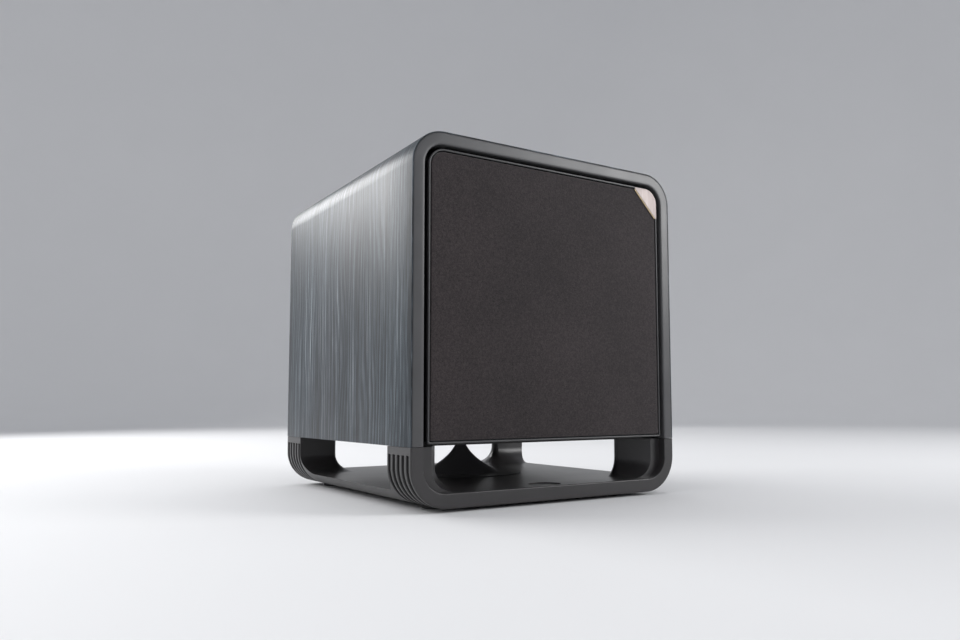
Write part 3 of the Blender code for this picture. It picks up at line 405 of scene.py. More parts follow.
# Materials
class Finish:
    """A Principled material, with short calls that add nodes to it."""

    def __init__(self, name, colour, roughness, metallic=0.0):
        self.material = bpy.data.materials.new(name)
        self.material.use_nodes = True
        self.tree = self.material.node_tree
        self.shader = self.tree.nodes["Principled BSDF"]
        self.put("Base Color", (*colour, 1))
        self.put("Roughness", roughness)
        self.put("Metallic", metallic)

    def put(self, name, value):
        """Sets or links one of the shader's inputs."""
        self.give(self.shader.inputs[name], value)

    def give(self, socket, value):
        if isinstance(value, bpy.types.NodeSocket):
            self.tree.links.new(value, socket)
        else:
            socket.default_value = value

    def node(self, kind, *values, **settings):
        """A node with these settings, and these values or links for its first inputs."""
        made = self.tree.nodes.new(kind)
        for name, value in settings.items():
            setattr(made, name, value)
        for socket, value in zip([s for s in made.inputs if s.enabled], values):
            self.give(socket, (*value, 1) if isinstance(value, tuple) and socket.type == "RGBA" else value)
        return made

    def place(self, scale=(1, 1, 1)):
        """The piece's own coordinates in metres, each axis times its scale."""
        return self.stretch(self.node("ShaderNodeTexCoord").outputs["Object"], scale)

    def stretch(self, vector, scale):
        made = self.node("ShaderNodeMapping", vector)
        made.inputs["Scale"].default_value = scale
        return made.outputs["Vector"]

    def along(self, vector, axis):
        return self.node("ShaderNodeSeparateXYZ", vector).outputs[axis]

    def noise(self, vector, scale=1.0, detail=3.0, roughness=0.55, distortion=0.0):
        made = self.node("ShaderNodeTexNoise", vector)
        made.inputs["Scale"].default_value = scale
        made.inputs["Detail"].default_value = detail
        made.inputs["Roughness"].default_value = roughness
        made.inputs["Distortion"].default_value = distortion
        return made.outputs["Fac"]

    def math(self, operation, *values):
        return self.node("ShaderNodeMath", *values, operation=operation).outputs[0]

    def wave(self, axis, pitch):
        """A sine along one axis of the piece, between -1 and 1."""
        return self.math("SINE", self.math("MULTIPLY", self.along(self.place(), axis), FULL / pitch))

    def spread(self, value, low, high, to_low=0.0, to_high=1.0):
        return self.node("ShaderNodeMapRange", value, low, high, to_low, to_high).outputs[0]

    def ramp(self, value, stops):
        """A colour ramp from (position, (r, g, b)) stops."""
        made = self.node("ShaderNodeValToRGB", value)
        elements = made.color_ramp.elements
        while len(elements) < len(stops):
            elements.new(0.5)
        for element, (position, colour) in zip(elements, stops):
            element.position = position
            element.color = (*colour, 1)
        return made.outputs["Color"]

    def mix(self, share, a, b):
        made = self.node("ShaderNodeMix", share, a, b, data_type="RGBA")
        return next(s for s in made.outputs if s.enabled)

    def bump(self, height, distance, strength):
        made = self.node("ShaderNodeBump")
        made.inputs["Strength"].default_value = strength
        made.inputs["Distance"].default_value = distance
        self.give(made.inputs["Height"], height)
        self.put("Normal", made.outputs["Normal"])


def times(colour, factor):
    return tuple(min(1, channel * factor) for channel in colour)


def veneer_finish(name):
    """Charcoal open-pored wood. U runs along the grain and V across it."""
    made = Finish(name, (0.1, 0.11, 0.12), 0.4)
    uv = made.node("ShaderNodeUVMap", uv_map="grain").outputs["UV"]

    def drawn(vector, along, across, **settings):
        return made.noise(made.stretch(vector, (along, across, 1)), **settings)

    wander = made.node("ShaderNodeCombineXYZ")
    made.give(wander.inputs["Y"], made.spread(drawn(uv, 3.2, 14, detail=1.5), 0.3, 0.7, -0.0026, 0.0026))
    grain = made.node("ShaderNodeVectorMath", uv, wander.outputs[0], operation="ADD").outputs[0]
    streaks = drawn(grain, 3.4, 620, detail=5, roughness=0.68)
    pores = drawn(grain, 30, 1900, detail=3, roughness=0.6)
    silver = made.spread(drawn(grain, 4.5, 400, detail=3), 0.56, 0.70)
    arcs = made.math("MULTIPLY", drawn(uv, 3.4, 15, detail=1.5), 40.0)
    phase = made.math("MULTIPLY_ADD", made.along(grain, "Y"), 620.0, arcs)
    rings = made.spread(made.math("SINE", phase), -1, 1)
    tone = made.math("MULTIPLY_ADD", streaks, 0.72, made.math("MULTIPLY", pores, 0.46))
    for layer, share in ((drawn(grain, 1.5, 30, detail=2), 0.26), (rings, 0.08), (silver, 0.11)):
        tone = made.math("MULTIPLY_ADD", layer, share, tone)
    colour = made.ramp(made.spread(tone, 0.56, 1.0), [
        (0.0, (0.003, 0.004, 0.006)), (0.32, (0.012, 0.0165, 0.021)),
        (0.55, (0.046, 0.060, 0.073)), (0.76, (0.145, 0.172, 0.194)), (1.0, (0.40, 0.43, 0.45)),
    ])
    warm = made.spread(drawn(uv, 2.0, 6, detail=1), 0.42, 0.62, 0, 0.55)
    made.put("Base Color", made.mix(warm, colour, made.mix(0.4, colour, (0.075, 0.066, 0.068))))
    made.put("Specular IOR Level", 0.38)
    made.put("Roughness", made.spread(streaks, 0.3, 0.7, 0.50, 0.36))
    made.bump(made.math("MULTIPLY_ADD", pores, 0.6, made.math("MULTIPLY", streaks, 0.4)), 0.0002, 0.6)
    return made.material


def moulded_finish(name, colour, roughness, depth=0.00003, uneven=0.035):
    """Moulded plastic: a fine spark-eroded texture, slight mottling and uneven gloss."""
    made = Finish(name, colour, roughness)
    mottle = made.noise(made.place(), 28)
    made.put("Base Color", made.mix(mottle, times(colour, 0.86), times(colour, 1.12)))
    made.put("Roughness", made.spread(mottle, 0.3, 0.7, roughness - uneven, roughness + uneven))
    made.bump(made.noise(made.place(), 900, detail=2, roughness=0.5), depth, 0.4)
    return made.material


def cloth_finish(name):
    """Fine knitted speaker cloth: staggered loops about a millimetre apart, with a faint speckle."""
    made = Finish(name, (0.035, 0.03, 0.031), 0.82)
    place = made.place()
    cells = made.node("ShaderNodeTexVoronoi", made.stretch(place, (1.0, 1.0, 0.8)))
    cells.inputs["Scale"].default_value = 950
    loops = cells.outputs["Distance"]
    speckle = made.noise(place, 420, detail=3, roughness=0.65)
    tone = made.math("MULTIPLY_ADD", loops, -0.5, made.math("MULTIPLY", speckle, 0.9))
    tone = made.math("MULTIPLY_ADD", made.noise(place, 9, detail=2), 0.35, tone)
    made.put("Base Color", made.ramp(made.spread(tone, 0.12, 0.62), [
        (0.0, (0.010, 0.0078, 0.0081)), (0.5, (0.0235, 0.0182, 0.0188)), (1.0, (0.042, 0.0325, 0.0335)),
    ]))
    made.put("Specular IOR Level", 0.25)
    made.put("Sheen Weight", 0.35)
    made.put("Sheen Roughness", 0.5)
    made.put("Sheen Tint", (0.9, 0.86, 0.88, 1))
    made.bump(made.math("MULTIPLY_ADD", loops, 0.6, made.math("MULTIPLY", speckle, 0.5)), 0.0002, 0.6)
    return made.material


def metal_finish(name, colour, roughness, brushed=(1, 1, 1), depth=0.00001):
    """Metal with fine brushing or casting grain, along the axis whose scale is smallest."""
    made = Finish(name, colour, roughness, 1.0)
    hair = made.noise(made.place(brushed), 600, detail=4, roughness=0.6)
    made.put("Base Color", made.mix(made.noise(made.place(), 35, detail=2), times(colour, 0.82), colour))
    made.put("Roughness", made.spread(hair, 0.3, 0.7, max(0.05, roughness - 0.08), roughness + 0.08))
    made.bump(hair, depth, 0.35)
    return made.material


def painted_finish(name, colour, roughness=0.5, grain=700.0, depth=0.00006):
    """Powder coat: a soft orange peel, with its crests coloured lighter as painted glints and its dips darker
    as painted shade.
    """
    made = Finish(name, colour, roughness)
    peel_and_painted_glints = made.noise(made.place(), grain, roughness=0.6)
    # Colour lighter on the peel's crests and darker in its dips: painted glints and painted shade.
    made.put("Base Color", made.mix(peel_and_painted_glints, times(colour, 0.75), times(colour, 1.3)))
    made.put("Coat Weight", 0.15)
    made.bump(peel_and_painted_glints, depth, 0.6)
    return made.material


def rubber_finish(name, colour, roughness=0.42):
    """Rubber or soft sleeving, with a dusty bloom."""
    made = Finish(name, colour, roughness)
    dust = made.noise(made.place(), 160, detail=4, roughness=0.7)
    made.put("Base Color", made.mix(made.spread(dust, 0.35, 0.75), colour, times(colour, 2.1)))
    made.put("Roughness", made.spread(dust, 0.3, 0.7, roughness - 0.06, roughness + 0.1))
    made.bump(dust, 0.00005, 0.4)
    return made.material


def felted_finish(name, dark, light, limits, noise_settings, roughness, relief):
    """Felted fibres, for fibreboard, pulp and wadding, as the material's Finish and the fibres' noise."""
    made = Finish(name, light, roughness)
    fibres = made.noise(made.place(), *noise_settings)
    made.put("Base Color", made.ramp(fibres, [(limits[0], dark), (limits[1], light)]))
    made.bump(fibres, *relief)
    return made, fibres


def board_finish(name, dark, light):
    made, _ = felted_finish(name, dark, light, (0, 1), (240, 5, 0.75, 1.5), 0.8, (0.0001, 0.6))
    return made.material


def pulp_finish(name):
    dark, light = (0.012, 0.012, 0.013), (0.042, 0.042, 0.045)
    made, fibres = felted_finish(name, dark, light, (0.3, 0.7), (520, 5, 0.8, 2.0), 0.68, (0.00012, 0.6))
    made.put("Roughness", made.spread(fibres, 0.3, 0.7, 0.6, 0.78))
    return made.material


def wadding_finish(name):
    dark, light = (0.5, 0.5, 0.48), (0.86, 0.86, 0.83)
    made, _ = felted_finish(name, dark, light, (0.25, 0.75), (90, 6, 0.8, 2.5), 0.95, (0.0015, 0.7))
    made.put("Sheen Weight", 0.5)
    return made.material


def weave_finish(name, dark, light, pitch, roughness):
    """A plain weave on two families of crossing threads."""
    made = Finish(name, light, roughness)
    weave = made.spread(made.math("MULTIPLY", made.wave("X", pitch), made.wave("Z", pitch)), -1, 1)
    made.put("Base Color", made.mix(weave, dark, light))
    made.bump(weave, 0.0001, 0.5)
    return made.material


def winding_finish(name):
    """Turns of enamelled wire, coloured darker between the turns and lighter on their crests as painted shade
    and painted highlight.
    """
    made = Finish(name, (0.6, 0.26, 0.12), 0.34, 0.9)
    wire = made.spread(made.wave("Y", 0.0007), -1, 1)
    painted_turn_shading = made.math("MULTIPLY", wire, made.noise(made.place(), 60, detail=2))
    # Colour darker between the turns and lighter on their crests: painted shade and painted highlight, varied
    # by a noise.
    made.put("Base Color", made.mix(painted_turn_shading, (0.16, 0.055, 0.025), (0.78, 0.36, 0.18)))
    made.bump(wire, 0.0002, 0.8)
    return made.material


def laminate_finish(name):
    """Green solder mask over copper tracks."""
    made = Finish(name, (0.02, 0.12, 0.05), 0.35)
    tracks = made.node("ShaderNodeTexBrick", made.place())
    tracks.inputs["Scale"].default_value = 90
    tracks.inputs["Mortar Size"].default_value = 0.03
    made.put("Base Color", made.mix(tracks.outputs["Fac"], (0.012, 0.09, 0.035), (0.06, 0.26, 0.1)))
    made.put("Coat Weight", 0.4)
    return made.material


def lens_finish(name):
    made = Finish(name, (0.15, 0.42, 0.9), 0.12)
    cloud = made.noise(made.place(), 400, detail=2)
    made.put("Base Color", made.mix(cloud, (0.08, 0.3, 0.75), (0.25, 0.55, 0.95)))
    made.put("Transmission Weight", 0.4)
    return made.material


def finish(slot, kind, name, *values, **settings):
    """A material made by the given finish function. Its slot is not used."""
    made = kind(name, *values, **settings)
    return made


VENEER = finish("wood_veneer", veneer_finish, "charcoal_veneer")
BEZEL_PLASTIC = finish("bezel_plastic", moulded_finish, "bezel_satin", (0.070, 0.070, 0.073), 0.34)
BASE_PLASTIC = finish("base_plastic", moulded_finish, "base_satin", (0.036, 0.034, 0.035), 0.33,
                      depth=0.000008, uneven=0.012)
# Black plastic coloured lighter than it is, to make up for the shade under the cabinet: painted light.
SHADE_LIGHTENED_BLACK = finish("black_plastic", moulded_finish, "black_gloss", (0.10, 0.097, 0.10), 0.40, 0.00001)
# The frame's black plastic, coloured lighter for its raised rim as painted highlight.
LIT_RIM_PLASTIC = finish("black_plastic", moulded_finish, "rim_satin", (0.045, 0.045, 0.047), 0.36)
SATIN_BLACK = finish("black_plastic", moulded_finish, "black_satin", (0.013, 0.013, 0.0135), 0.42)
KNIT = finish("grille_fabric", cloth_finish, "grille_knit")
BADGE_METAL = finish("badge_metal", metal_finish, "badge_satin", (0.43, 0.378, 0.365), 0.58, (1, 1, 0.05))
# Darker gold for the strip beside the badge's long edge, where its shadow falls: painted shadow.
BADGE_SHADOW_METAL = finish("badge_metal", metal_finish, "badge_edge", (0.34, 0.27, 0.17), 0.5)
RUBBER = finish("rubber", rubber_finish, "moulded_rubber", (0.014, 0.014, 0.014), 0.62)
SURROUND_RUBBER = finish("rubber", rubber_finish, "surround_rubber", (0.018, 0.018, 0.019), 0.5)
ZINC = finish("zinc_steel", metal_finish, "zinc_plate", (0.62, 0.62, 0.6), 0.3)
NICKEL = finish("zinc_steel", metal_finish, "nickel_plate", (0.7, 0.67, 0.62), 0.22)
TURNED_STEEL = finish("zinc_steel", metal_finish, "turned_steel", (0.5, 0.5, 0.5), 0.38, depth=0.000004)
BLACK_SCREW = finish("zinc_steel", painted_finish, "black_oxide", (0.02, 0.02, 0.02), 0.35)
BLACK_POWDER = finish("painted_steel", painted_finish, "black_powder_coat", (0.016, 0.016, 0.017))
FERRITE = finish("ferrite", painted_finish, "sintered_ferrite", (0.05, 0.05, 0.055), 0.6, 500, 0.0001)
BLACK_BOARD = board_finish("sealed_fibreboard", (0.012, 0.012, 0.012), (0.035, 0.034, 0.033))
RAW_BOARD = board_finish("raw_fibreboard", (0.20, 0.14, 0.09), (0.36, 0.26, 0.17))
PULP = finish("cone_paper", pulp_finish, "cone_pulp")
SPIDER_CLOTH = finish("impregnated_cloth", weave_finish, "spider_weave",
                      (0.24, 0.15, 0.045), (0.52, 0.36, 0.13), 0.0008, 0.75)
KAPTON = finish("impregnated_cloth", weave_finish, "coil_former",
                (0.30, 0.14, 0.03), (0.45, 0.24, 0.06), 0.003, 0.35)
COPPER = finish("copper_wire", winding_finish, "enamelled_copper")
WADDING = finish("wadding", wadding_finish, "polyester_wadding")
LAMINATE = finish("circuit_laminate", laminate_finish, "solder_mask")
ANODISED = finish("heatsink_aluminium", metal_finish, "black_anodised",
                  (0.03, 0.03, 0.032), 0.42, (1, 1, 0.05))
RED_SLEEVE = finish("red_sleeve", rubber_finish, "red_sleeve", (0.42, 0.02, 0.02))
BLACK_SLEEVE = finish("black_sleeve", rubber_finish, "black_sleeve", (0.02, 0.02, 0.02))
LENS = finish("led_lens", lens_finish, "led_lens")
CAN_SLEEVE = finish("black_plastic", moulded_finish, "capacitor_sleeve", (0.012, 0.014, 0.02), 0.25, 0.00001)
RED_PLASTIC = finish("black_plastic", moulded_finish, "red_plastic", (0.5, 0.02, 0.015), 0.35)
WHITE_PLASTIC = finish("black_plastic", moulded_finish, "white_plastic", (0.72, 0.71, 0.68), 0.35)
PRINT_WHITE = finish("black_plastic", moulded_finish, "white_print", (0.75, 0.75, 0.75), 0.5)
RESISTOR = finish("copper_wire", moulded_finish, "resistor_lacquer", (0.35, 0.24, 0.13), 0.35)
TAPE = finish("copper_wire", moulded_finish, "polyester_tape", (0.62, 0.42, 0.05), 0.3)


# Enclosure
def make_veneered_cabinet():
    """The veneered sleeve: an arch-shaped wall with a rebate at the front for the bezel."""
    path = arch_path(HALF, BASE_TOP + GAP, HEIGHT, TOP_RADIUS, 28)
    lip, edge, seat, rows = 0.0006, 0.0005, BEZEL_DEPTH + GAP, 6
    section = [
        (0, lip + edge), (edge * 0.3, lip + edge * 0.3), (edge, lip), (BEZEL_LIP, lip), (BEZEL_LIP, seat),
        (WALL, seat), (WALL, DEPTH - 0.0002), (WALL - 0.0002, DEPTH), (edge, DEPTH),
        (edge * 0.3, DEPTH - edge * 0.3), (0, DEPTH - edge),
    ]
    section += [(0, DEPTH - edge - (DEPTH - 2 * edge) * i / rows) for i in range(1, rows)]
    cabinet = mesh_object("veneered_cabinet", swept(path, section), VENEER)
    cabinet.data.materials.append(BLACK_BOARD)
    for polygon in cabinet.data.polygons:
        x, z = abs(polygon.center.x), polygon.center.z - BOTTOM
        rise = max(0.0, z - (HEIGHT - TOP_RADIUS))
        inset = TOP_RADIUS - math.hypot(max(0.0, x - (HALF - TOP_RADIUS)), rise) if rise > 0 else HALF - x
        polygon.material_index = 1 if inset > 0.0012 else 0
    add_grain_map(cabinet, path)
    piece(smooth(cabinet, 30), "cabinet_wrap")


def add_grain_map(obj, path):
    """A UV map in metres: U is the way along the arch and V is the depth."""
    lengths = [0.0]
    for (x0, z0, _, _), (x1, z1, _, _) in zip(path, path[1:]):
        lengths.append(lengths[-1] + math.hypot(x1 - x0, z1 - z0))
    layer = obj.data.uv_layers.new(name="grain")
    per_ring = len(obj.data.vertices) // len(path)
    for loop in obj.data.loops:
        y = obj.data.vertices[loop.vertex_index].co.y
        layer.data[loop.index].uv = (lengths[loop.vertex_index // per_ring], y - FRONT)


# Base
def base_block(edge=0.002):
    """The base before it is opened up: U-shaped, with a flat top and rounded front and rear edges."""
    front = arc(edge, edge, edge, -QUARTER, -QUARTER, 4)
    rings = []
    for inset, y in front + [(inset, DEPTH - y) for inset, y in reversed(front)]:
        half = HALF - inset
        outline = rectangle(-half, half, inset, BASE_TOP, BOTTOM_RADIUS - inset, 0, 24)
        rings.append([(p.x, y, p.y) for p in outline])
    return mesh_object("base_moulding", loft(rings), BASE_PLASTIC)


def leg_space_outline(growth):
    """The plan of the space between the legs, with the legs' faces moved outwards by growth."""
    side = HALF + 0.02
    front_face = RIM_DEPTH - 0.0005
    slant = Vector((LEG_DEPTH - front_face, LEG_FACE - LEG_INNER)).normalized()
    face = LEG_FACE - growth / slant.x
    corner_x = LEG_INNER - growth * (1 + slant.y) / slant.x

    def leg(spread):
        near = LEG_DEPTH + growth * spread
        return [(face, front_face, 0), (corner_x, near, LEG_CORNER + growth), (side, near, 0)]

    right = leg(FRONT_SPREAD) + [(x, DEPTH - y, radius) for x, y, radius in reversed(leg(REAR_SPREAD))]
    left = [(-x, y, radius) for x, y, radius in reversed(right)]
    return filleted(right + left)


def leg_space():
    """The space between the legs. Its lower edge leaves a fillet where each leg meets the floor."""
    levels = arc(LEG_FILLET, FLOOR + LEG_FILLET, LEG_FILLET, -QUARTER, -QUARTER, 12)
    levels.append((0, BASE_TOP + 0.05))
    return loft([[(p.x, p.y, height) for p in leg_space_outline(growth)] for growth, height in levels])


def rim_window(low, high):
    """The opening in the front or the rear rim, with its two lower corners rounded."""
    outline = rectangle(-APERTURE_HALF, APERTURE_HALF, FLOOR, BASE_TOP + 0.01, 0.026, 0, 14)
    return flat_prism(outline, low, high)


def groove_section():
    """(across, depth) points of a groove's cutter: flared at the mouth so that the ribs come out rounded."""
    half, out = GROOVE_WIDTH / 2, RIB_ROUNDING
    flare = [(half + out * 1.15, -0.003), (half + out * 0.9, -0.0001)]
    flare += [(half + out * (1 - math.sin(t)), out * (1 - math.cos(t))) for t in (0.5, 0.9, 1.25)]
    right = [*flare, (half, out), (half - 0.0001, GROOVE_DEPTH - 0.0005), (half - 0.0006, GROOVE_DEPTH)]
    return right + [(-across, depth) for across, depth in reversed(right)]


def groove_path(side):
    """(x, z, inward x, inward z, lift) down the side and round the bottom corner."""
    centre, clear = HALF - BOTTOM_RADIUS, GROOVE_DEPTH + 0.0006
    path = [
        (side * HALF, GROOVE_TOP + 0.0004, -side, 0, clear),
        (side * HALF, GROOVE_TOP - 0.0006, -side, 0, 0),
        (side * HALF, BOTTOM_RADIUS, -side, 0, 0),
    ]
    for out_x, out_z in arc(0, 0, 1, 0, -QUARTER, 20, skip=1):
        x, z = side * (centre + BOTTOM_RADIUS * out_x), BOTTOM_RADIUS * (1 + out_z)
        path.append((x, z, -side * out_x, -out_z, 0))
    return [*path, (side * (centre - 0.004), 0, 0, 1, 0), (side * (centre - 0.0046), 0, 0, 1, clear)]


def groove_ring(section, y, x, z, in_x, in_z, lift):
    """A groove's section, in 3D, at one place of its path."""
    levels = [(across, depth - lift) for across, depth in section]
    return [(x + in_x * level, y + across, z + in_z * level) for across, level in levels]


def grooves():
    """One bmesh with every groove's cutter, as separate closed bodies."""
    form = bmesh.new()
    section = groove_section()
    for index in range(GROOVE_COUNT):
        middle = GROOVE_START + index * GROOVE_PITCH + GROOVE_WIDTH / 2
        for y in (middle, DEPTH - middle):
            for side in (-1, 1):
                loft([groove_ring(section, y, *place) for place in groove_path(side)], form=form)
    return form


def bores():
    """The screw bores, the foot sockets and the shallow round recess in the floor."""
    below, shank_hole, head_hole, plug_hole = -0.01, 0.0028, 0.0056, 0.0055
    form = bmesh.new()
    for x, y in four_corners(SCREW_X, SCREW_INSET):
        flat_prism(circle(x, y, shank_hole, 16), 0.0299, 0.08, "Z", form)
        flat_prism(circle(x, y, head_hole), below, 0.030, "Z", form)
    for x, y in four_corners(FOOT_X, FOOT_INSET):
        flat_prism(circle(x, y, plug_hole), below, FOOT_PLUG_TOP + 0.0005, "Z", form)
    recess, recess_y, recess_depth = 0.019, 0.024, 0.0012
    flat_prism(circle(0, recess_y, recess, 64), FLOOR - recess_depth, FLOOR + 0.01, "Z", form)
    return form


def on_skin(place):
    """Whether a place lies on the base's side or rounded lower corner, away from its front and rear."""
    if place.z > BASE_TOP - 0.0005 or not 0.02 < place.y < DEPTH - 0.02:
        return False
    out = abs(place.x) - (HALF - BOTTOM_RADIUS)
    if place.z >= BOTTOM_RADIUS:
        return abs(abs(place.x) - HALF) < 0.0001
    return out > 0 and abs(math.hypot(out, place.z - BOTTOM_RADIUS) - BOTTOM_RADIUS) < 0.00012


def on_rim_face(place):
    """Whether a place lies in the front or the rear plane, on the window's edge."""
    return min(abs(place.y), abs(place.y - DEPTH)) < 0.00005 and place.z < BASE_TOP - 0.0005


def make_base():
    base = base_block()
    cut(base, leg_space())
    cut(base, rim_window(-0.01, RIM_DEPTH))
    cut(base, rim_window(DEPTH - RIM_DEPTH, DEPTH + 0.01))
    round_edges(base.data, SKIN_ROUNDING, chosen=on_skin)
    round_edges(base.data, RIM_ROUNDING, chosen=on_rim_face)
    cut(base, bores())
    cut(base, grooves())
    piece(weighted(smooth(base, 38)), "base_plinth")


# Front
def make_bezel():
    """The moulded frame round the grille: a barely crowned face, with softly rounded front edges."""
    inset = BEZEL_LIP + GAP
    path = arch_path(HALF - inset, BASE_TOP + GAP + 0.0002, HEIGHT - inset, TOP_RADIUS - inset, 28)
    width = HALF - inset - APERTURE_HALF
    outer, lip, crown = 0.0009, 0.0016, 0.00035
    shares = (0.2, 0.4, 0.6, 0.8)
    face = [(outer + (width - outer - lip) * share, crown * (1 - share) ** 2) for share in shares]
    section = [
        (0.0, BEZEL_DEPTH), *arc(outer, crown + outer, outer, -2 * QUARTER, QUARTER, 4), *face,
        *arc(width - lip, lip, lip, -QUARTER, QUARTER, 4), (width, BEZEL_DEPTH),
    ]
    piece(smooth(mesh_object("bezel_moulding", swept(path, section), BEZEL_PLASTIC), 40), "front_bezel")


def grille_rings(section):
    """The grille's outline as a ring for each (inset, y) point of a section."""
    rings = []
    for inset, y in section:
        low, high, half = GRILLE_LOW.z + inset, GRILLE_HIGH.z - inset, GRILLE_HIGH.x - inset
        foot, top = max(GRILLE_FOOT_RADIUS - inset, 0.0006), GRILLE_RADIUS - inset
        corners = (
            (half - top, high - top, top), (top - half, high - top, top),
            (foot - half, low + foot, foot), (half - foot, low + foot, foot),
        )
        ring = [point for i, corner in enumerate(corners) for point in arc(*corner, i * QUARTER, QUARTER, 14)]
        rings.append([(x, y, z) for x, z in ring])
    return rings


def make_grille_frame():
    """The frame, with a groove all round for the cloth's edge, and its raised rim outside the groove,
    coloured lighter than the frame as painted highlight.
    """
    groove_front, groove_back = GRILLE_FRONT - 0.01, GRILLE_FRONT + 0.0052
    made = rounded_copy("grille_moulding", "grille_frame", SATIN_BLACK, 0.0005)
    cut(made, loft(grille_rings((
        (GROOVE_OUTER, groove_front), (GROOVE_INNER, groove_front), (GROOVE_INNER, groove_back),
        (GROOVE_OUTER, groove_back),
    )), closed=True))
    piece(smooth(made), "grille_frame", body="grille")
    edge, width, foot = 0.0009, GROOVE_OUTER, GRILLE_FRONT + 0.0048
    rim = loft(grille_rings([
        (0.0002, foot), (0, foot - 0.0002), *arc(edge, GRILLE_FRONT + edge, edge, -2 * QUARTER, QUARTER, 4),
        *arc(width - edge, GRILLE_FRONT + edge, edge, -QUARTER, QUARTER, 4), (width, foot - 0.0002),
        (width - 0.0002, foot),
    ]), closed=True)
    piece(smooth(mesh_object("grille_rim", rim, LIT_RIM_PLASTIC), 45), body="grille")


def make_grille_cloth():
    """One sheet over the frame's flat face, rounded over its edge and tucked into the groove all round."""
    face, tucked, edge, start = GRILLE_FRONT + 0.0003, GRILLE_FRONT + 0.0046, 0.0009, GROOVE_INNER - 0.0007
    section = [
        (start, tucked), *arc(start + edge, face + edge, edge, -2 * QUARTER, QUARTER, 5),
        (start + 0.003, face - 0.00005), (start + 0.012, face - 0.0001),
    ]
    cloth = smooth(mesh_object("grille_weave", loft(grille_rings(section), caps=(-1,)), KNIT), 60)
    shell = cloth.modifiers.new("thickness", "SOLIDIFY")
    shell.thickness = 0.0006
    shell.offset = -1
    piece(cloth, "grille_cloth", body="grille")


def make_badge():
    """A plain three-cornered plate in the grille's upper right corner, with a darker strip beside its long
    edge as painted shadow.
    """
    low, high = inner("badge")
    left, bottom, right, top = low.x, low.z, high.x, high.z
    back, front, edge = high.y, low.y, 0.0005
    outline = filleted([(left, top, 0.0008), (right, top, 0.0183), (right, bottom, 0.0008)], 12)
    centre = sum(outline, Vector((0, 0))) / len(outline)
    rings = []
    for shrink, y in ((0, back), (0, front + edge), (edge * 0.35, front + edge * 0.35), (edge, front)):
        ring = [centre + (point - centre) * (1 - shrink / 0.012) for point in outline]
        rings.append([(p.x, y, p.y) for p in ring])
    piece(smooth(mesh_object("badge_plate", loft(rings), BADGE_METAL), 30), "badge", body="grille")
    # A darker strip just outside the long edge, where the plate's shadow falls: painted shadow.
    along = Vector((right - left, bottom - top)).normalized()
    across = Vector((along.y, -along.x))
    start, end = Vector((left, top)) + along * 0.0035, Vector((right, bottom)) - along * 0.0035
    strip = [start + across * 0.0002, end + across * 0.0002, end + across * 0.0013, start + across * 0.0013]
    piece(mesh_object("badge_shadow_strip", flat_prism(strip, front + 0.0004, back), BADGE_SHADOW_METAL), body="grille")


# Fittings of the base
def make_diffuser():
    """The horn under the port: an exponential flare on a thin round flange."""
    foot, flange, low, rise, steps = 0.0535, 0.082, 0.0015, 0.0585, 44
    heights = [low + rise * i / steps for i in range(steps + 1)]
    horn = [(foot * math.exp(-36 * h - 450 * h * h), h) for h in heights]
    tip = horn[-1][0]
    skirt = [
        (0, GAP), (flange - 0.0003, GAP), (flange, GAP + 0.0003), (flange - 0.0003, 0.0010),
        (0.066, 0.0011), (0.056, 0.00125),
    ]
    crown = arc(0, low + rise, tip, 0, QUARTER, 4, skip=1)[:-1]
    profile = [*skirt, *horn, *crown, (0, low + rise + tip)]
    turned("diffuser_horn", profile, (0, PORT_Y, FLOOR), SHADE_LIGHTENED_BLACK, 96, "diffuser_cone", along="Z")


def make_port():
    """The port's mouth, flared under the bottom panel, and its tube, flared at the inner end."""
    low, lip, flange, sleeve = 0.0618, PORT_NECK + 0.014, 0.089, PORT_BORE + 2 * PORT_WALL
    outside = PORT_BORE + PORT_WALL
    collar = outside + 0.0004
    flare = arc(PORT_MOUTH, PORT_NECK, (PORT_MOUTH - PORT_BORE, PORT_NECK - low), -QUARTER, -QUARTER, 18)
    outer = [(radius + PORT_WALL, height + PORT_WALL * 0.8) for radius, height in reversed(flare[2:-1])]
    mouth = [
        *flare, (collar, PORT_NECK), (collar, lip - 0.0004), (collar + 0.0004, lip), (sleeve - 0.0005, lip),
        (sleeve, lip - 0.0005), (sleeve, PORT_NECK), *outer, (PORT_MOUTH + 0.001, BASE_TOP),
        (flange - 0.0006, BASE_TOP), (flange, BASE_TOP - 0.0006), (flange, low + 0.0008),
        (flange - 0.0008, low),
    ]
    turned("port_flare", mouth, (0, PORT_Y, 0), SHADE_LIGHTENED_BLACK, 96, "port_mouth", along="Z")
    top, flared, rise, start = 0.236, 0.050, 0.016, PORT_NECK + GAP
    bell = arc(flared, top, (flared - PORT_BORE, rise), 2 * QUARTER, -QUARTER, 12)
    end = (flared + PORT_WALL / 2, top + rise - 0.0004)
    rim = arc(*end, (PORT_WALL / 2, PORT_WALL / 6), 2 * QUARTER, -2 * QUARTER, 4, skip=1)[:-1]
    skirt = [(radius + PORT_WALL, height) for radius, height in reversed(bell[1:-1])]
    tube = [(PORT_BORE, start), *bell, *rim, *skirt, (outside, top), (outside, start)]
    turned("port_pipe", tube, (0, PORT_Y, 0), SATIN_BLACK, 72, "port_tube", along="Z")


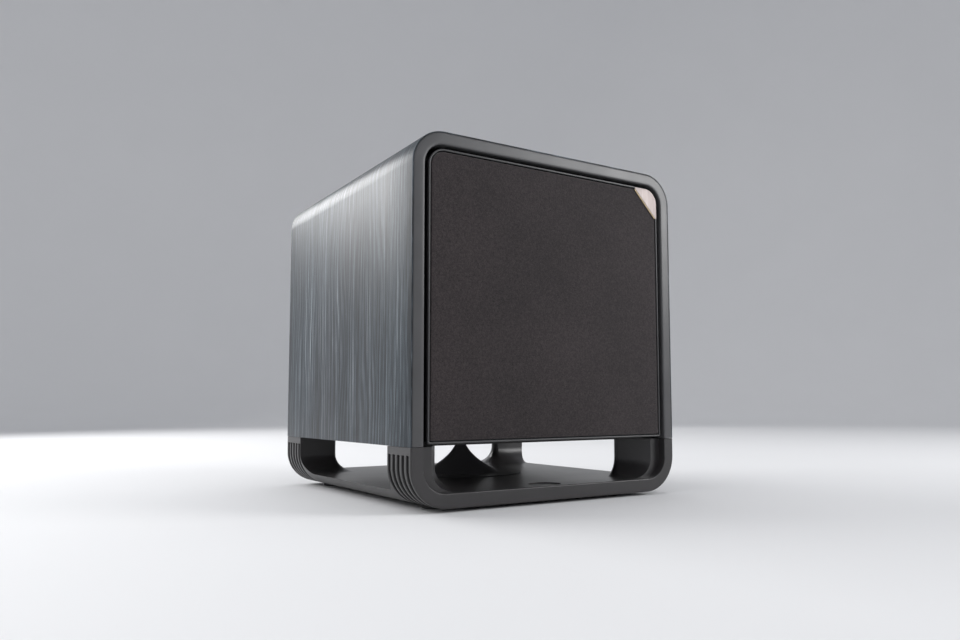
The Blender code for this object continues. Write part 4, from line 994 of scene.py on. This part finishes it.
def make_feet_and_screws():
    """Rubber pads, each with a ring in its sole and a plug in the base, and the base's four screws."""
    radius, sole, plug, edge = 0.015, -0.004, 0.005, 0.0012
    profile = [
        (0, sole), (0.0078, sole), (0.0081, sole + 0.0006), (0.0093, sole + 0.0006), (0.0096, sole),
        *arc(radius - edge, sole + edge, edge, -QUARTER, QUARTER, 4), (radius, -0.0010),
        (radius - 0.0005, -GAP), (plug, -GAP), (plug, FOOT_PLUG_TOP - 0.0010),
        (plug - 0.0008, FOOT_PLUG_TOP), (0, FOOT_PLUG_TOP),
    ]
    corners = ("front_left", "front_right", "rear_left", "rear_right")
    for (x, y), name in zip(four_corners(FOOT_X, FOOT_INSET), corners):
        turned(f"foot_pad_{name}", profile, (x, y, 0), RUBBER, 48, f"foot_{name}", along="Z")
    for (x, y), name in zip(four_corners(SCREW_X, SCREW_INSET), corners):
        place, node = (x, y, SCREW_SEAT), f"base_screw_{name}"
        screw(f"panel_screw_{name}", place, "Z", 1, *BASE_SCREW, ZINC, node)


# Woofer
def cone_place(radius):
    """How far back the cone's front face lies at a radius."""
    share = (radius - CONE_NECK) / (CONE_EDGE - CONE_NECK)
    return CONE_NECK_PLACE + (CONE_EDGE_PLACE - CONE_NECK_PLACE) * share ** 0.85


def make_cone():
    """The paper cone, with three raised stiffening rings, and its dust cap."""
    paper, rim, steps = 0.0011, 0.0935, 40
    front = []
    for i in range(steps + 1):
        radius = CONE_NECK + (CONE_EDGE - CONE_NECK) * i / steps
        rib = sum(math.exp(-((radius - middle) / 0.0011) ** 2) for middle in (0.048, 0.060, 0.072))
        front.append((radius, cone_place(radius) - 0.0007 * rib))
    front += [(CONE_EDGE + 0.0008, CONE_EDGE_PLACE - GAP), (rim, CONE_EDGE_PLACE - GAP)]
    back = [(radius, cone_place(min(radius, CONE_EDGE)) + paper) for radius, _ in reversed(front[:-2:4])]
    profile = [*front, (rim, CONE_EDGE_PLACE + paper), *back]
    turned("cone_paper", profile, WOOFER, PULP, 96, "woofer_cone", body="woofer_moving")
    edge, depth, shell = 0.034, 0.011, 0.0009
    base = cone_place(edge) - shell
    dome = arc(0, base, (edge, -depth), 0, QUARTER, 14)[:-1]
    under = arc(0, base, (edge - shell, shell - depth), 0, QUARTER, 14)[-2::-1]
    cap = [*dome, (0, base - depth), (0, base - depth + shell), *under]
    turned("dust_cap_dome", cap, WOOFER, PULP, 72, "dust_cap", body="woofer_moving")


def sectors(name, profile, count, material, node):
    """A turned flexible ring in wedges, between the basket and the cone."""
    steps = 12
    for index in range(count):
        turns = [FULL * (index + step / steps) / count for step in range(steps + 1)]
        rings = [[turned_place(radius, place, turn, WOOFER) for radius, place in profile] for turn in turns]
        wedge = smooth(mesh_object(f"{name}_{index + 1}", loft(rings), material), 50)
        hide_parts(node)
        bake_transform(wedge)


def half_roll(inside, outside, base, rise):
    """Points over a half roll between two radii, rising towards the front."""
    return arc((inside + outside) / 2, base, ((outside - inside) / 2, -rise), 2 * QUARTER, -2 * QUARTER, 14)


def make_suspension():
    """The rubber half-roll surround and the corrugated spider."""
    front, back, rise, lips = 0.0283, 0.0293, 0.0067, (0.0880, 0.1138)
    section = [
        (lips[0], front), *half_roll(0.0940, 0.1055, front - 0.0001, rise), (lips[1], front),
        (lips[1], back), *reversed(half_roll(0.0952, 0.1043, back + 0.0001, rise)), (lips[0], back),
    ]
    sectors("surround_wedge", section, 24, SURROUND_RUBBER, "woofer_surround")
    neck, rim, base, ripple, thickness, steps, waves_end = 0.0262, 0.0590, 0.0979, 0.0010, 0.0007, 48, 0.84
    points = []
    for i in range(steps + 1):
        share = i / steps
        wave = ripple * math.sin(6 * math.pi * share / waves_end) if share < waves_end else 0
        points.append((neck + (rim - neck) * share, base + wave))
    cloth = points + [(radius, place + thickness) for radius, place in reversed(points)]
    sectors("spider_wedge", cloth, 12, SPIDER_CLOTH, "spider")


def woofer_screw_places():
    """The (x, z) places of the basket's four screws, on one circle."""
    return arc(0, WOOFER_Z, BASKET_SCREW_CIRCLE, QUARTER / 2, 3 * QUARTER, 3)


def make_basket():
    """The pressed steel basket: its flange, a bowl with six windows, and the magnet's seat."""
    back = 0.1140
    profile = [
        (0.1275, BASKET_FACE), (0.128, 0.0302), (0.128, 0.0331), (0.1274, 0.0337), (0.1132, 0.0337),
        (0.1118, 0.0349), (0.110, 0.046), (0.0675, 0.0895), (0.0630, 0.0948), (0.062, 0.0965),
        (0.062, back - 0.0008), (0.0612, back), (0.030, back), (0.030, back - 0.002),
        (0.0595, back - 0.002), (0.0595, 0.0975), (0.052, 0.0975), (0.052, 0.0955), (0.0605, 0.0955),
        (0.0655, 0.0885), (0.1075, 0.0455), (0.1085, 0.0320), (0.1075, 0.0303), (0.106, BASKET_FACE),
    ]
    basket = lathe("basket_pressing", profile, WOOFER, BLACK_POWDER, 96)
    count, half, narrow, front, rear = 6, 0.0215, 0.01763, 0.048, 0.086
    outline = filleted([
        (-half, front, 0.007), (half, front, 0.007), (narrow, rear, 0.006), (-narrow, rear, 0.006),
    ], 5)
    for index in range(count):
        turn = (index + 0.5) * FULL / count
        cos, sin = math.cos(turn), math.sin(turn)
        cut(basket, loft([
            [(cos * reach - sin * p.x, p.y, WOOFER_Z + sin * reach + cos * p.x) for p in outline]
            for reach in (0.060, 0.118)
        ]))
    form = bmesh.new()
    for x, z in woofer_screw_places():
        flat_prism(circle(x, z, 0.0025, 20), BASKET_FACE - 0.0097, BASKET_FACE + 0.0103, form=form)
    cut(basket, form)
    piece(smooth(basket), "woofer_basket")


def make_motor():
    """The voice coil on its former, and the magnet between its two steel plates."""
    former = tube_section(0.0249, 0.0252, 0.0830, 0.1245, 0.0001, 1)
    turned("coil_former_tube", former, WOOFER, KAPTON, 72, "voice_coil_former", body="woofer_moving")
    start, tall, turns, flat, core = 0.1095, 0.015, 16, 0.0262, 0.0255
    layers = []
    for i in range(turns):
        middle = start + (i + 0.5) * tall / turns
        layers += [(0.0264, middle - 0.000424), (0.0267, middle), (0.0264, middle + 0.000424)]
    coil = [(core, start), (flat, start), *layers, (flat, start + tall), (core, start + tall)]
    turned("coil_winding", coil, WOOFER, COPPER, 72, "voice_coil", body="woofer_moving")
    front, plate_back, magnet_back, back = 0.1143, 0.1203, 0.1383, 0.1449
    plate = tube_section(0.0277, 0.060, front, plate_back)
    turned("motor_front_plate", plate, WOOFER, TURNED_STEEL, 96, "magnet_top_plate")
    ring = tube_section(0.036, 0.070, plate_back + GAP, magnet_back, 0.0012)
    turned("motor_magnet", ring, WOOFER, FERRITE, 96, "magnet_ring")
    seat = magnet_back + GAP
    yoke = [
        (0.0086, front), (0.0230, front), (0.0238, front + 0.0008), (0.0238, seat), (0.0675, seat),
        (0.068, seat + 0.0005), (0.068, back - 0.002), (0.066, back), (0.024, back), (0.022, back - 0.0012),
        (0.0125, back - 0.0012), (0.008, back - 0.0040), (0.008, front + 0.0006),
    ]
    turned("motor_yoke", yoke, WOOFER, TURNED_STEEL, 96, "magnet_yoke")


def smooth_route(places, steps):
    """Points read from a smooth curve through the given places."""
    route = []
    for i in range(len(places) - 1):
        before, start, end = places[max(i - 1, 0)], places[i], places[i + 1]
        after = places[min(i + 2, len(places) - 1)]
        for step in range(steps):
            t = step / steps
            route.append(0.5 * (
                2 * start + (end - before) * t
                + (2 * before - 5 * start + 4 * end - after) * t ** 2
                + (3 * start - before - 3 * end + after) * t ** 3
            ))
    return [*route, places[-1]]


def make_leads():
    """Two sleeved leads from the woofer's terminals, beside the port, through the brace, to the board."""
    board = 0.352
    for sign, colour, material in ((-1, "black", BLACK_SLEEVE), (1, "red", RED_SLEEVE)):
        board_x = 0.035 + sign * 0.013
        route = [
            (sign * 0.007, 0.1040, 0.1440), (sign * 0.007, 0.1045, 0.1390), (sign * 0.014, 0.1100, 0.1310),
            (sign * 0.034, 0.1380, 0.1260), (sign * 0.056, 0.1740, 0.1290), (sign * 0.062, 0.2200, 0.1370),
            (sign * 0.057, 0.2600, 0.1500), (sign * 0.035 + 0.010, 0.3000, 0.1640),
            (board_x, board - 0.0160, 0.1720), (board_x, board - 0.0060, 0.1724),
            (board_x, board - 2 * GAP, 0.1724),
        ]
        curve = bpy.data.curves.new(f"lead_{colour}", "CURVE")
        curve.dimensions = "3D"
        curve.bevel_depth = LEAD_RADIUS
        curve.bevel_resolution = 3
        curve.use_fill_caps = True
        places = smooth_route([Vector(place) + SHIFT for place in route], 8)
        spline = curve.splines.new("POLY")
        spline.points.add(len(places) - 1)
        for point, place in zip(spline.points, places):
            point.co = (*place, 1)
        spline.use_smooth = True
        curve.materials.append(material)
        piece(linked(f"lead_{colour}", curve), f"speaker_wire_{colour}")


def make_woofer():
    make_cone()
    make_suspension()
    make_basket()
    make_motor()
    gasket = tube_section(0.1065, 0.114, 0.0255, 0.0279, 0.0008)
    turned("gasket_ring", gasket, WOOFER, RUBBER, 96, "woofer_gasket")
    for index, (x, z) in enumerate(woofer_screw_places(), 1):
        place, node = (x, BASKET_FACE - GAP, z), f"woofer_screw_{index}"
        screw(f"basket_screw_{index}", place, "Y", 1, *BASKET_SCREW, BLACK_SCREW, node)
    softened("terminal_strip", "terminal_block", SATIN_BLACK)
    make_leads()


# Amplifier
def make_heatsink():
    """An extrusion with nine fins, each with a round tip, and rounded roots between them."""
    left, right, fins, fin, half_z = -0.104, -0.004, 9, 0.0022, 0.062
    base, tip = PLATE_FACE + GAP, PLATE_FACE + 0.0125
    foot, pitch = base + 0.003, (right - left - fin) / (fins - 1)
    root = ((0.0012, 0), (0.0003, 0.0005), (0, 0.0014))
    outline = [(left, base)]
    for index in range(fins):
        x = left + index * pitch
        if index:
            outline += [(x - away, foot + rise) for away, rise in root]
        outline += arc(x + fin / 2, tip - fin / 2, fin / 2, 2 * QUARTER, -2 * QUARTER, 6)
        if index < fins - 1:
            outline += [(x + fin + away, foot + rise) for away, rise in reversed(root)]
    outline.append((right, base))
    form = flat_prism(outline, PLATE_Z - half_z, PLATE_Z + half_z, "Z")
    piece(smooth(mesh_object("fin_extrusion", form, ANODISED), 40), "heatsink")


def make_knob(name, x, body, node):
    """A fluted knob on its shaft, with a white line let into a raised pointer."""
    start, foot, tip, shaft = PLATE_BACK - 0.014, PLATE_FACE + GAP, PLATE_FACE + 0.0125, 0.0030
    profile = [
        (0, start), (shaft - 0.0004, start), (shaft, start + 0.0004), (shaft, foot), (0.0091, foot),
        (0.0095, foot + 0.0004), (0.0094, foot + 0.0018), (0.0088, foot + 0.0024), (0.0086, tip - 0.0012),
        (0.0082, tip - 0.0004), (0.0076, tip - 0.0001), (0.0060, tip - 0.0004), (0, tip - 0.0006),
    ]
    knob = lathe(name, profile, (x, 0, KNOB_Z), SATIN_BLACK, 144)
    centre_z, flutes = BOTTOM + KNOB_Z, 24
    for vertex in knob.data.vertices:
        spoke, y = Vector((vertex.co.x - x, vertex.co.z - centre_z)), vertex.co.y - FRONT
        if spoke.length < 0.0078 or not foot + 0.0023 < y < tip - 0.0006:
            continue
        flute = 0.5 + 0.5 * math.cos(flutes * math.atan2(spoke.y, spoke.x))
        spoke *= 1 - 0.045 * flute ** 2
        vertex.co.x, vertex.co.z = x + spoke.x, centre_z + spoke.y
    piece(smooth(knob, 50), node, body=body)
    half = 0.00045
    line = rectangle(x - half, x + half, KNOB_Z + 0.0008, KNOB_Z + 0.0078, 0.0004, 0.0002, 4)
    mark = mesh_object(name + "_pointer", flat_prism(line, tip - 0.0012, tip + 0.0006), PRINT_WHITE)
    piece(smooth(mark), body=body)


def make_dial(name, x):
    """Printed strokes round a knob, eleven of them over 300 degrees, the last ones longer."""
    form = bmesh.new()
    count, near, centre = 11, 0.0108, Vector((x, KNOB_Z))
    for index in range(count):
        turn = math.radians(90 + 150 - 300 * index / (count - 1))
        far = 0.0134 if index in (0, count // 2, count - 1) else 0.0124
        along = Vector((math.cos(turn), math.sin(turn)))
        aside = Vector((-math.sin(turn), math.cos(turn))) * 0.0002
        corners = ((near, 1), (far, 1), (far, -1), (near, -1))
        stroke = [centre + along * reach + aside * way for reach, way in corners]
        flat_prism(stroke, PLATE_FACE, PLATE_FACE + 0.00006, form=form)
    piece(mesh_object(name, form, PRINT_WHITE), slot="painted_steel")


def make_pot(name, x, node):
    """A potentiometer: a pressed can behind a threaded bush."""
    back, face, bush = PLATE_BACK - 0.016, PLATE_BACK - GAP, 0.0034
    profile = [
        (bush, back + 0.0003), (0.0040, back), (0.0072, back), (0.0080, back + 0.0008),
        (0.0080, back + 0.0090), (0.0077, back + 0.0096), (0.0077, face - 0.0004), (0.0073, face),
        (bush, face),
    ]
    turned(name, profile, (x, 0, KNOB_Z), ZINC, 48, node)


def make_jack(side, x, ring_material):
    """A phono socket: a plated barrel, an insulating collar in its channel's colour and a lined throat."""
    tip, step, back, centre = PLATE_FACE + 0.0085, PLATE_FACE + 0.0022, PLATE_BACK - 0.0100, (x, 0, JACK_Z)
    barrel = [
        (0.0028, tip), (0.0039, tip), (0.0042, tip - 0.0003), (0.0042, back + 0.0003), (0.0039, back),
        (0.0028, back), (0.0026, back + 0.0003), (0.0026, tip - 0.0003),
    ]
    turned(f"jack_barrel_{side}", barrel, centre, NICKEL, 48, f"line_jack_{side}")
    collar = tube_section(0.0043, 0.0062, PLATE_FACE + GAP, step, 0.0003)
    turned(f"jack_collar_{side}", collar, centre, ring_material, 48)
    liner = tube_section(0.0016, 0.0025, back + 0.0004, tip - 0.0012, 0.0002)
    turned(f"jack_liner_{side}", liner, centre, WHITE_PLASTIC, 40)


def make_slider(name, node, body, x):
    """A slide switch's button, with three grip ribs across it."""
    low, high = inner(node)
    half, face = (high.x - low.x) / 2, high.y
    rib = ((-0.0005, 0.0006), (-0.00035, 0.0001), (0, 0), (0.00035, 0.0001), (0.0005, 0.0006))
    outline = [
        (x - half, low.y), (x - half, face - 0.0006), (x - half + 0.0003, face - 0.0003),
        *[(x + middle + offset, face - rise) for middle in (-0.0013, 0, 0.0013) for offset, rise in rib],
        (x + half - 0.0003, face - 0.0003), (x + half, face - 0.0006), (x + half, low.y),
    ]
    made = mesh_object(name, flat_prism(outline, low.z, high.z, "Z"), SATIN_BLACK)
    piece(smooth(made, 50), node, body=body)


def make_rocker():
    """The mains rocker: a dished key that rests tipped, with a raised ring on the side that is down."""
    pivot, tilt, steps = PLATE_FACE - 0.0010, math.radians(8), 12
    back, front, dip, half, half_x, edge = -0.0042, 0.0040, 0.0026, 0.0075, 0.0045, 0.0004
    reach = half - edge
    outline = [(-half, back), (half, back), (half, front - edge), (reach, front)]
    for i in range(1, steps):
        z = reach * (1 - 2 * i / steps)
        outline.append((z, dip + (front - dip) * (z / reach) ** 2))
    outline += [(-reach, front), (-half, front - edge)]
    cos, sin = math.cos(tilt), math.sin(tilt)
    side = [(z * sin + y * cos, z * cos - y * sin) for z, y in outline]
    rings = [
        [(ROCKER_X + x, pivot + y * size, MAINS_Z + z * size) for y, z in side]
        for x, size in ((-half_x, 0.96), (-half_x + 0.0003, 1), (half_x - 0.0003, 1), (half_x, 0.96))
    ]
    made = mesh_object("rocker_key", loft(rings), SATIN_BLACK)
    piece(smooth(made, 30), "mains_rocker", body="mains_switch")
    ring = tube_section(0.0009, 0.0014, 0, 0.0001, 0.00003, 1)
    place = (ROCKER_X, pivot + 0.0037, MAINS_Z - 0.0052)
    turned("rocker_ring", ring, place, PRINT_WHITE, 32, body="mains_switch")


def make_plate_screws():
    half_x, half_z = 0.112, 0.092
    for index, (x, z) in enumerate(((-1, -1), (0, -1), (1, -1), (1, 0), (1, 1), (0, 1), (-1, 1), (-1, 0)), 1):
        place = (x * half_x, PLATE_FACE, PLATE_Z + z * half_z)
        screw(f"plate_screw_{index}", place, "Y", -1, *PLATE_SCREW, BLACK_SCREW)


def make_led():
    dome = arc(0, PLATE_FACE + 0.0002, (0.0015, 0.0014), 0, QUARTER, 8)[:-1]
    profile = [(0, PLATE_BACK - 0.003), (0.0015, PLATE_BACK - 0.003), *dome, (0, PLATE_FACE + 0.0016)]
    turned("status_lens", profile, ((CONTROL_LEFT + CONTROL_RIGHT) / 2, 0, LED_Z), LENS, 32, "status_led")


def make_amplifier():
    softened("amplifier_panel", "amp_plate", BLACK_POWDER, 0.0005)
    make_heatsink()
    make_plate_screws()
    make_led()
    for name, node, x in (("volume", "volume", CONTROL_LEFT), ("crossover", "lowpass", CONTROL_RIGHT)):
        make_knob(f"{name}_grip", x, f"{name}_control", f"{node}_knob")
        make_dial(f"{name}_dial", x)
        make_pot(f"{name}_can", x, f"{node}_pot")
    make_slider("phase_button", "phase_slider", "phase_switch", CONTROL_LEFT - 0.0020)
    make_slider("mode_button", "mode_slider", "mode_switch", CONTROL_RIGHT)
    softened("phase_case", "phase_switch_body", ZINC)
    softened("mode_case", "mode_switch_body", ZINC)
    make_jack("left", CONTROL_LEFT, WHITE_PLASTIC)
    make_jack("right", CONTROL_RIGHT, RED_PLASTIC)
    make_rocker()
    softened("rocker_housing", "mains_switch_housing", SATIN_BLACK)
    softened("inlet_housing", "mains_inlet", SATIN_BLACK)


# Inside the cabinet
def make_wadding():
    """A batt of wadding: flat where it is glued under the top, lumpy and rounded everywhere else."""
    low, high = inner("acoustic_wadding")
    thick = high.z - low.z
    rings = []
    for level in (0.0, 0.12, 0.35, 0.7, 1.0):
        pull = 0.009 * (1 - math.sin(QUARTER * min(1, level / 0.6)))
        outline = rectangle(low.x + pull, high.x - pull, low.y + pull, high.y - pull, 0.018, 0.018)
        rings.append([(p.x, p.y, low.z + thick * level) for p in outline])
    made = mesh_object("wadding_batt", loft(rings), WADDING)
    remesh = made.modifiers.new("remesh", "REMESH")
    remesh.mode = "VOXEL"
    remesh.voxel_size = 0.0045
    apply_modifiers(made)
    top = high.z + BOTTOM
    for vertex in made.data.vertices:
        depth = min(1.0, (top - vertex.co.z) / thick)
        lump = noise.fractal(vertex.co * 28, 0.9, 2.1, 4)
        tuft = noise.noise(vertex.co * 190)
        vertex.co += vertex.normal * (0.0028 * lump - 0.0016 + 0.0006 * tuft) * min(1.0, depth * 3)
    piece(smooth(made, 80), "acoustic_wadding")


def make_filter_cans():
    """The two large capacitors, each with a rolled neck and a metal lid."""
    radius, start = 0.0110, BOARD_FACE + GAP
    end = start + 0.026
    for index, z in enumerate((0.184, 0.256), 1):
        profile = [
            (0, start), (radius - 0.0004, start), (radius, start + 0.0006), (radius, start + 0.0030),
            (radius - 0.0004, start + 0.0036), (radius, start + 0.0042), (radius, end - 0.0014),
            (0.0104, end - 0.0003), (0.0098, end), (0.0094, end - 0.0006), (0, end - 0.0006),
        ]
        turned(f"filter_can_{index}", profile, (0.018, 0, z), CAN_SLEEVE, 56, f"filter_capacitor_{index}")
        lid = [(0, end - 0.0006), (0.0092, end - 0.0006), (0.0090, end - 0.0003), (0, end - 0.0003)]
        turned(f"filter_lid_{index}", lid, (0.018, 0, z), TURNED_STEEL, 48, slot="copper_wire")


def make_small_cans():
    sizes = (
        (0.046, 0.196, 0.0040, 0.011), (0.058, 0.196, 0.0040, 0.011), (0.046, 0.236, 0.0032, 0.009),
        (0.094, 0.188, 0.0050, 0.013), (0.094, 0.262, 0.0032, 0.009),
    )
    for index, (x, z, radius, tall) in enumerate(sizes, 1):
        end = BOARD_FACE + tall
        profile = [(0, BOARD_FACE), (radius, BOARD_FACE), (radius, end - 0.0008), (radius - 0.0008, end),
                   (0, end - 0.0002)]
        turned(f"small_can_{index}", profile, (x, 0, z), CAN_SLEEVE, 32)


def make_resistor(name, x, z):
    """A resistor standing clear of the board on two wire legs: a waisted body, lying along Z."""
    waist = [(0.0007, 0.0032), (0.0011, 0.0024), (0.0008, 0.0016)]
    body = [(0, -0.0034), *[(radius, -place) for radius, place in waist], *reversed(waist), (0, 0.0034)]
    wire, lift = 0.0003, 0.0024
    turned(name, body, (x, BOARD_FACE + lift, z), RESISTOR, 24, along="Z")
    for end, way in (("low", -1), ("high", 1)):
        leg = [(0, 0), (wire, 0), (wire, lift), (0, lift)]
        turned(f"{name}_leg_{end}", leg, (x, BOARD_FACE, z + way * 0.0036), ZINC, 10)


def make_relay():
    outline = rectangle(0.074, 0.094, 0.226, 0.242, 0.0008, 0.0008, 4)
    middle = Vector((0.084, 0.234))
    rings = []
    for y, size in ((BOARD_FACE, 1), (BOARD_FACE + 0.0145, 1), (BOARD_FACE + 0.0152, 0.95)):
        rings.append([(p.x, y, p.y) for p in (middle + (point - middle) * size for point in outline)])
    piece(smooth(mesh_object("relay_case", loft(rings), CAN_SLEEVE)))


def make_choke():
    """A ring core wound with thick wire, standing on the board."""
    centre, ring, wound, turns = (0.060, BOARD_FACE + 0.0095, 0.262), 0.0068, 0.0026, 15
    rings = []
    for turn in (FULL * i / (turns * 12) for i in range(turns * 12)):
        section = circle(ring, 0, wound * (1 + 0.10 * math.cos(turns * turn)), 12)
        rings.append([turned_place(radius, place, turn, centre, "Z") for radius, place in section])
    piece(smooth(mesh_object("choke_winding", loft(rings, closed=True), COPPER), 60))


def make_transformer():
    """A toroidal transformer: taped windings, a steel dish and the bolt that holds it."""
    hole, rim, half, edge, laps = 0.012, 0.037, 0.014, 0.0065, 40
    centre = (-0.055, PLATE_BACK - GAP - half, PLATE_Z)
    outline = rectangle(hole, rim, -half, half, edge, edge, 6)
    middle = Vector(((hole + rim) / 2, 0))
    spokes = [point - middle for point in outline]
    rings = []
    for i in range(laps * 4):
        lap, turn = 0.0003 * (i % 4) / 3, FULL * i / (laps * 4)
        section = [middle + spoke * (1 - lap / spoke.length) for spoke in spokes]
        rings.append([turned_place(p.x, p.y, turn, centre) for p in section])
    winding = smooth(mesh_object("transformer_winding", loft(rings, closed=True), TAPE), 12)
    piece(winding, "toroidal_transformer")
    dish = [(0.0022, -0.0018), (0.024, -0.0018), (0.025, -0.0012), (0.025, -0.0004), (0.0240, 0), (0.0140, 0),
            (0.0115, 0.0040), (0.0022, 0.0040)]
    bolt = [(0, -0.0046), (0.0030, -0.0046), (0.0034, -0.0042), (0.0034, -0.0019), (0.0020, -0.0019),
            (0.0020, 2 * half), (0, 2 * half)]
    front = (centre[0], centre[1] - half, centre[2])
    turned("transformer_dish", dish, front, ZINC, 64)
    turned("transformer_bolt", bolt, front, ZINC, 6)


def make_inside():
    make_wadding()
    softened("amplifier_board", "circuit_board", LAMINATE, 0.0002)
    make_filter_cans()
    make_small_cans()
    for index, (x, z) in enumerate(((0.060, 0.226), (0.066, 0.226), (0.072, 0.208), (0.078, 0.208)), 1):
        make_resistor(f"resistor_{index}", x, z)
    make_relay()
    make_choke()
    make_transformer()


# Stage
def make_camera():
    """A camera low at the front left, looking slightly up."""
    yaw, pitch, roll = math.radians(33.9), math.radians(4.654), math.radians(-0.275)
    forward = Vector((math.sin(yaw) * math.cos(pitch), math.cos(yaw) * math.cos(pitch), math.sin(pitch)))
    level = Vector((math.cos(yaw), -math.sin(yaw), 0))
    right = level * math.cos(roll) + level.cross(forward) * math.sin(roll)
    turn = Matrix((right, right.cross(forward), -forward)).transposed().to_4x4()
    data = bpy.data.cameras.new("camera")
    data.lens = 29.77
    data.sensor_width = 36
    data.shift_x = -0.0456
    data.shift_y = 0.0211
    camera = linked("camera", data)
    camera.matrix_world = Matrix.Translation(Vector((-0.5356, -0.7316, 0.1068)) + SHIFT) @ turn
    bpy.context.scene.camera = camera


def area_light(name, place, target, size, power):
    data = bpy.data.lights.new(name, "AREA")
    data.shape = "RECTANGLE"
    data.size, data.size_y = size
    data.energy = power
    light = linked(name, data)
    light.location = place
    light.rotation_euler = (Vector(target) - Vector(place)).to_track_quat("-Z", "Y").to_euler()
    light.visible_camera = False


def make_stage():
    """A pale floor that curves up into a wall all round, and soft light from large panels."""
    made = Finish("pale_floor", PALE, 0.75)
    made.put("Base Color", made.mix(made.noise(made.place(), 3), PALE, times(PALE, 1.03)))
    reach, rise, top = 3.6, 2.0, 4.2
    profile = [(0, 0), *arc(reach, rise, rise, -QUARTER, QUARTER, 16), (reach + rise, top)]
    lathe("floor", profile, -SHIFT, made.material, 96, "Z")
    world = bpy.data.worlds.new("studio")
    world.use_nodes = True
    world.node_tree.nodes["Background"].inputs["Color"].default_value = (0.90, 0.93, 1.0, 1)
    world.node_tree.nodes["Background"].inputs["Strength"].default_value = 0.42
    bpy.context.scene.world = world
    middle = (0, 0, 0.2)
    area_light("key_right", (2.0, -2.0, 1.25), (0, -0.1, 0.3), (1.3, 1.2), 40)
    area_light("rear_left", (-1.4, 1.98, 1.36), (-0.15, 0, 0.3), (2.4, 0.8), 53)
    area_light("top", (0.1, 0.1, 2.6), middle, (2.0, 2.0), 18)
    area_light("left", (-2.3, -0.3, 1.1), middle, (1.0, 1.4), 6)
    area_light("low_right", (1.5, 2.3, 0.5), (0, 0, 0.05), (2.0, 0.6), 1.3)
    bpy.context.scene.view_settings.view_transform = "Standard"


make_camera()
make_stage()
for name in ("bottom_panel", "front_baffle", "rear_panel"):
    coat(NODES[name].data, BLACK_BOARD)
coat(NODES["internal_brace"].data, RAW_BOARD)
make_veneered_cabinet()
make_bezel()
make_grille_frame()
make_grille_cloth()
make_badge()
make_base()
make_diffuser()
make_port()
make_feet_and_screws()
make_woofer()
make_amplifier()
make_inside()
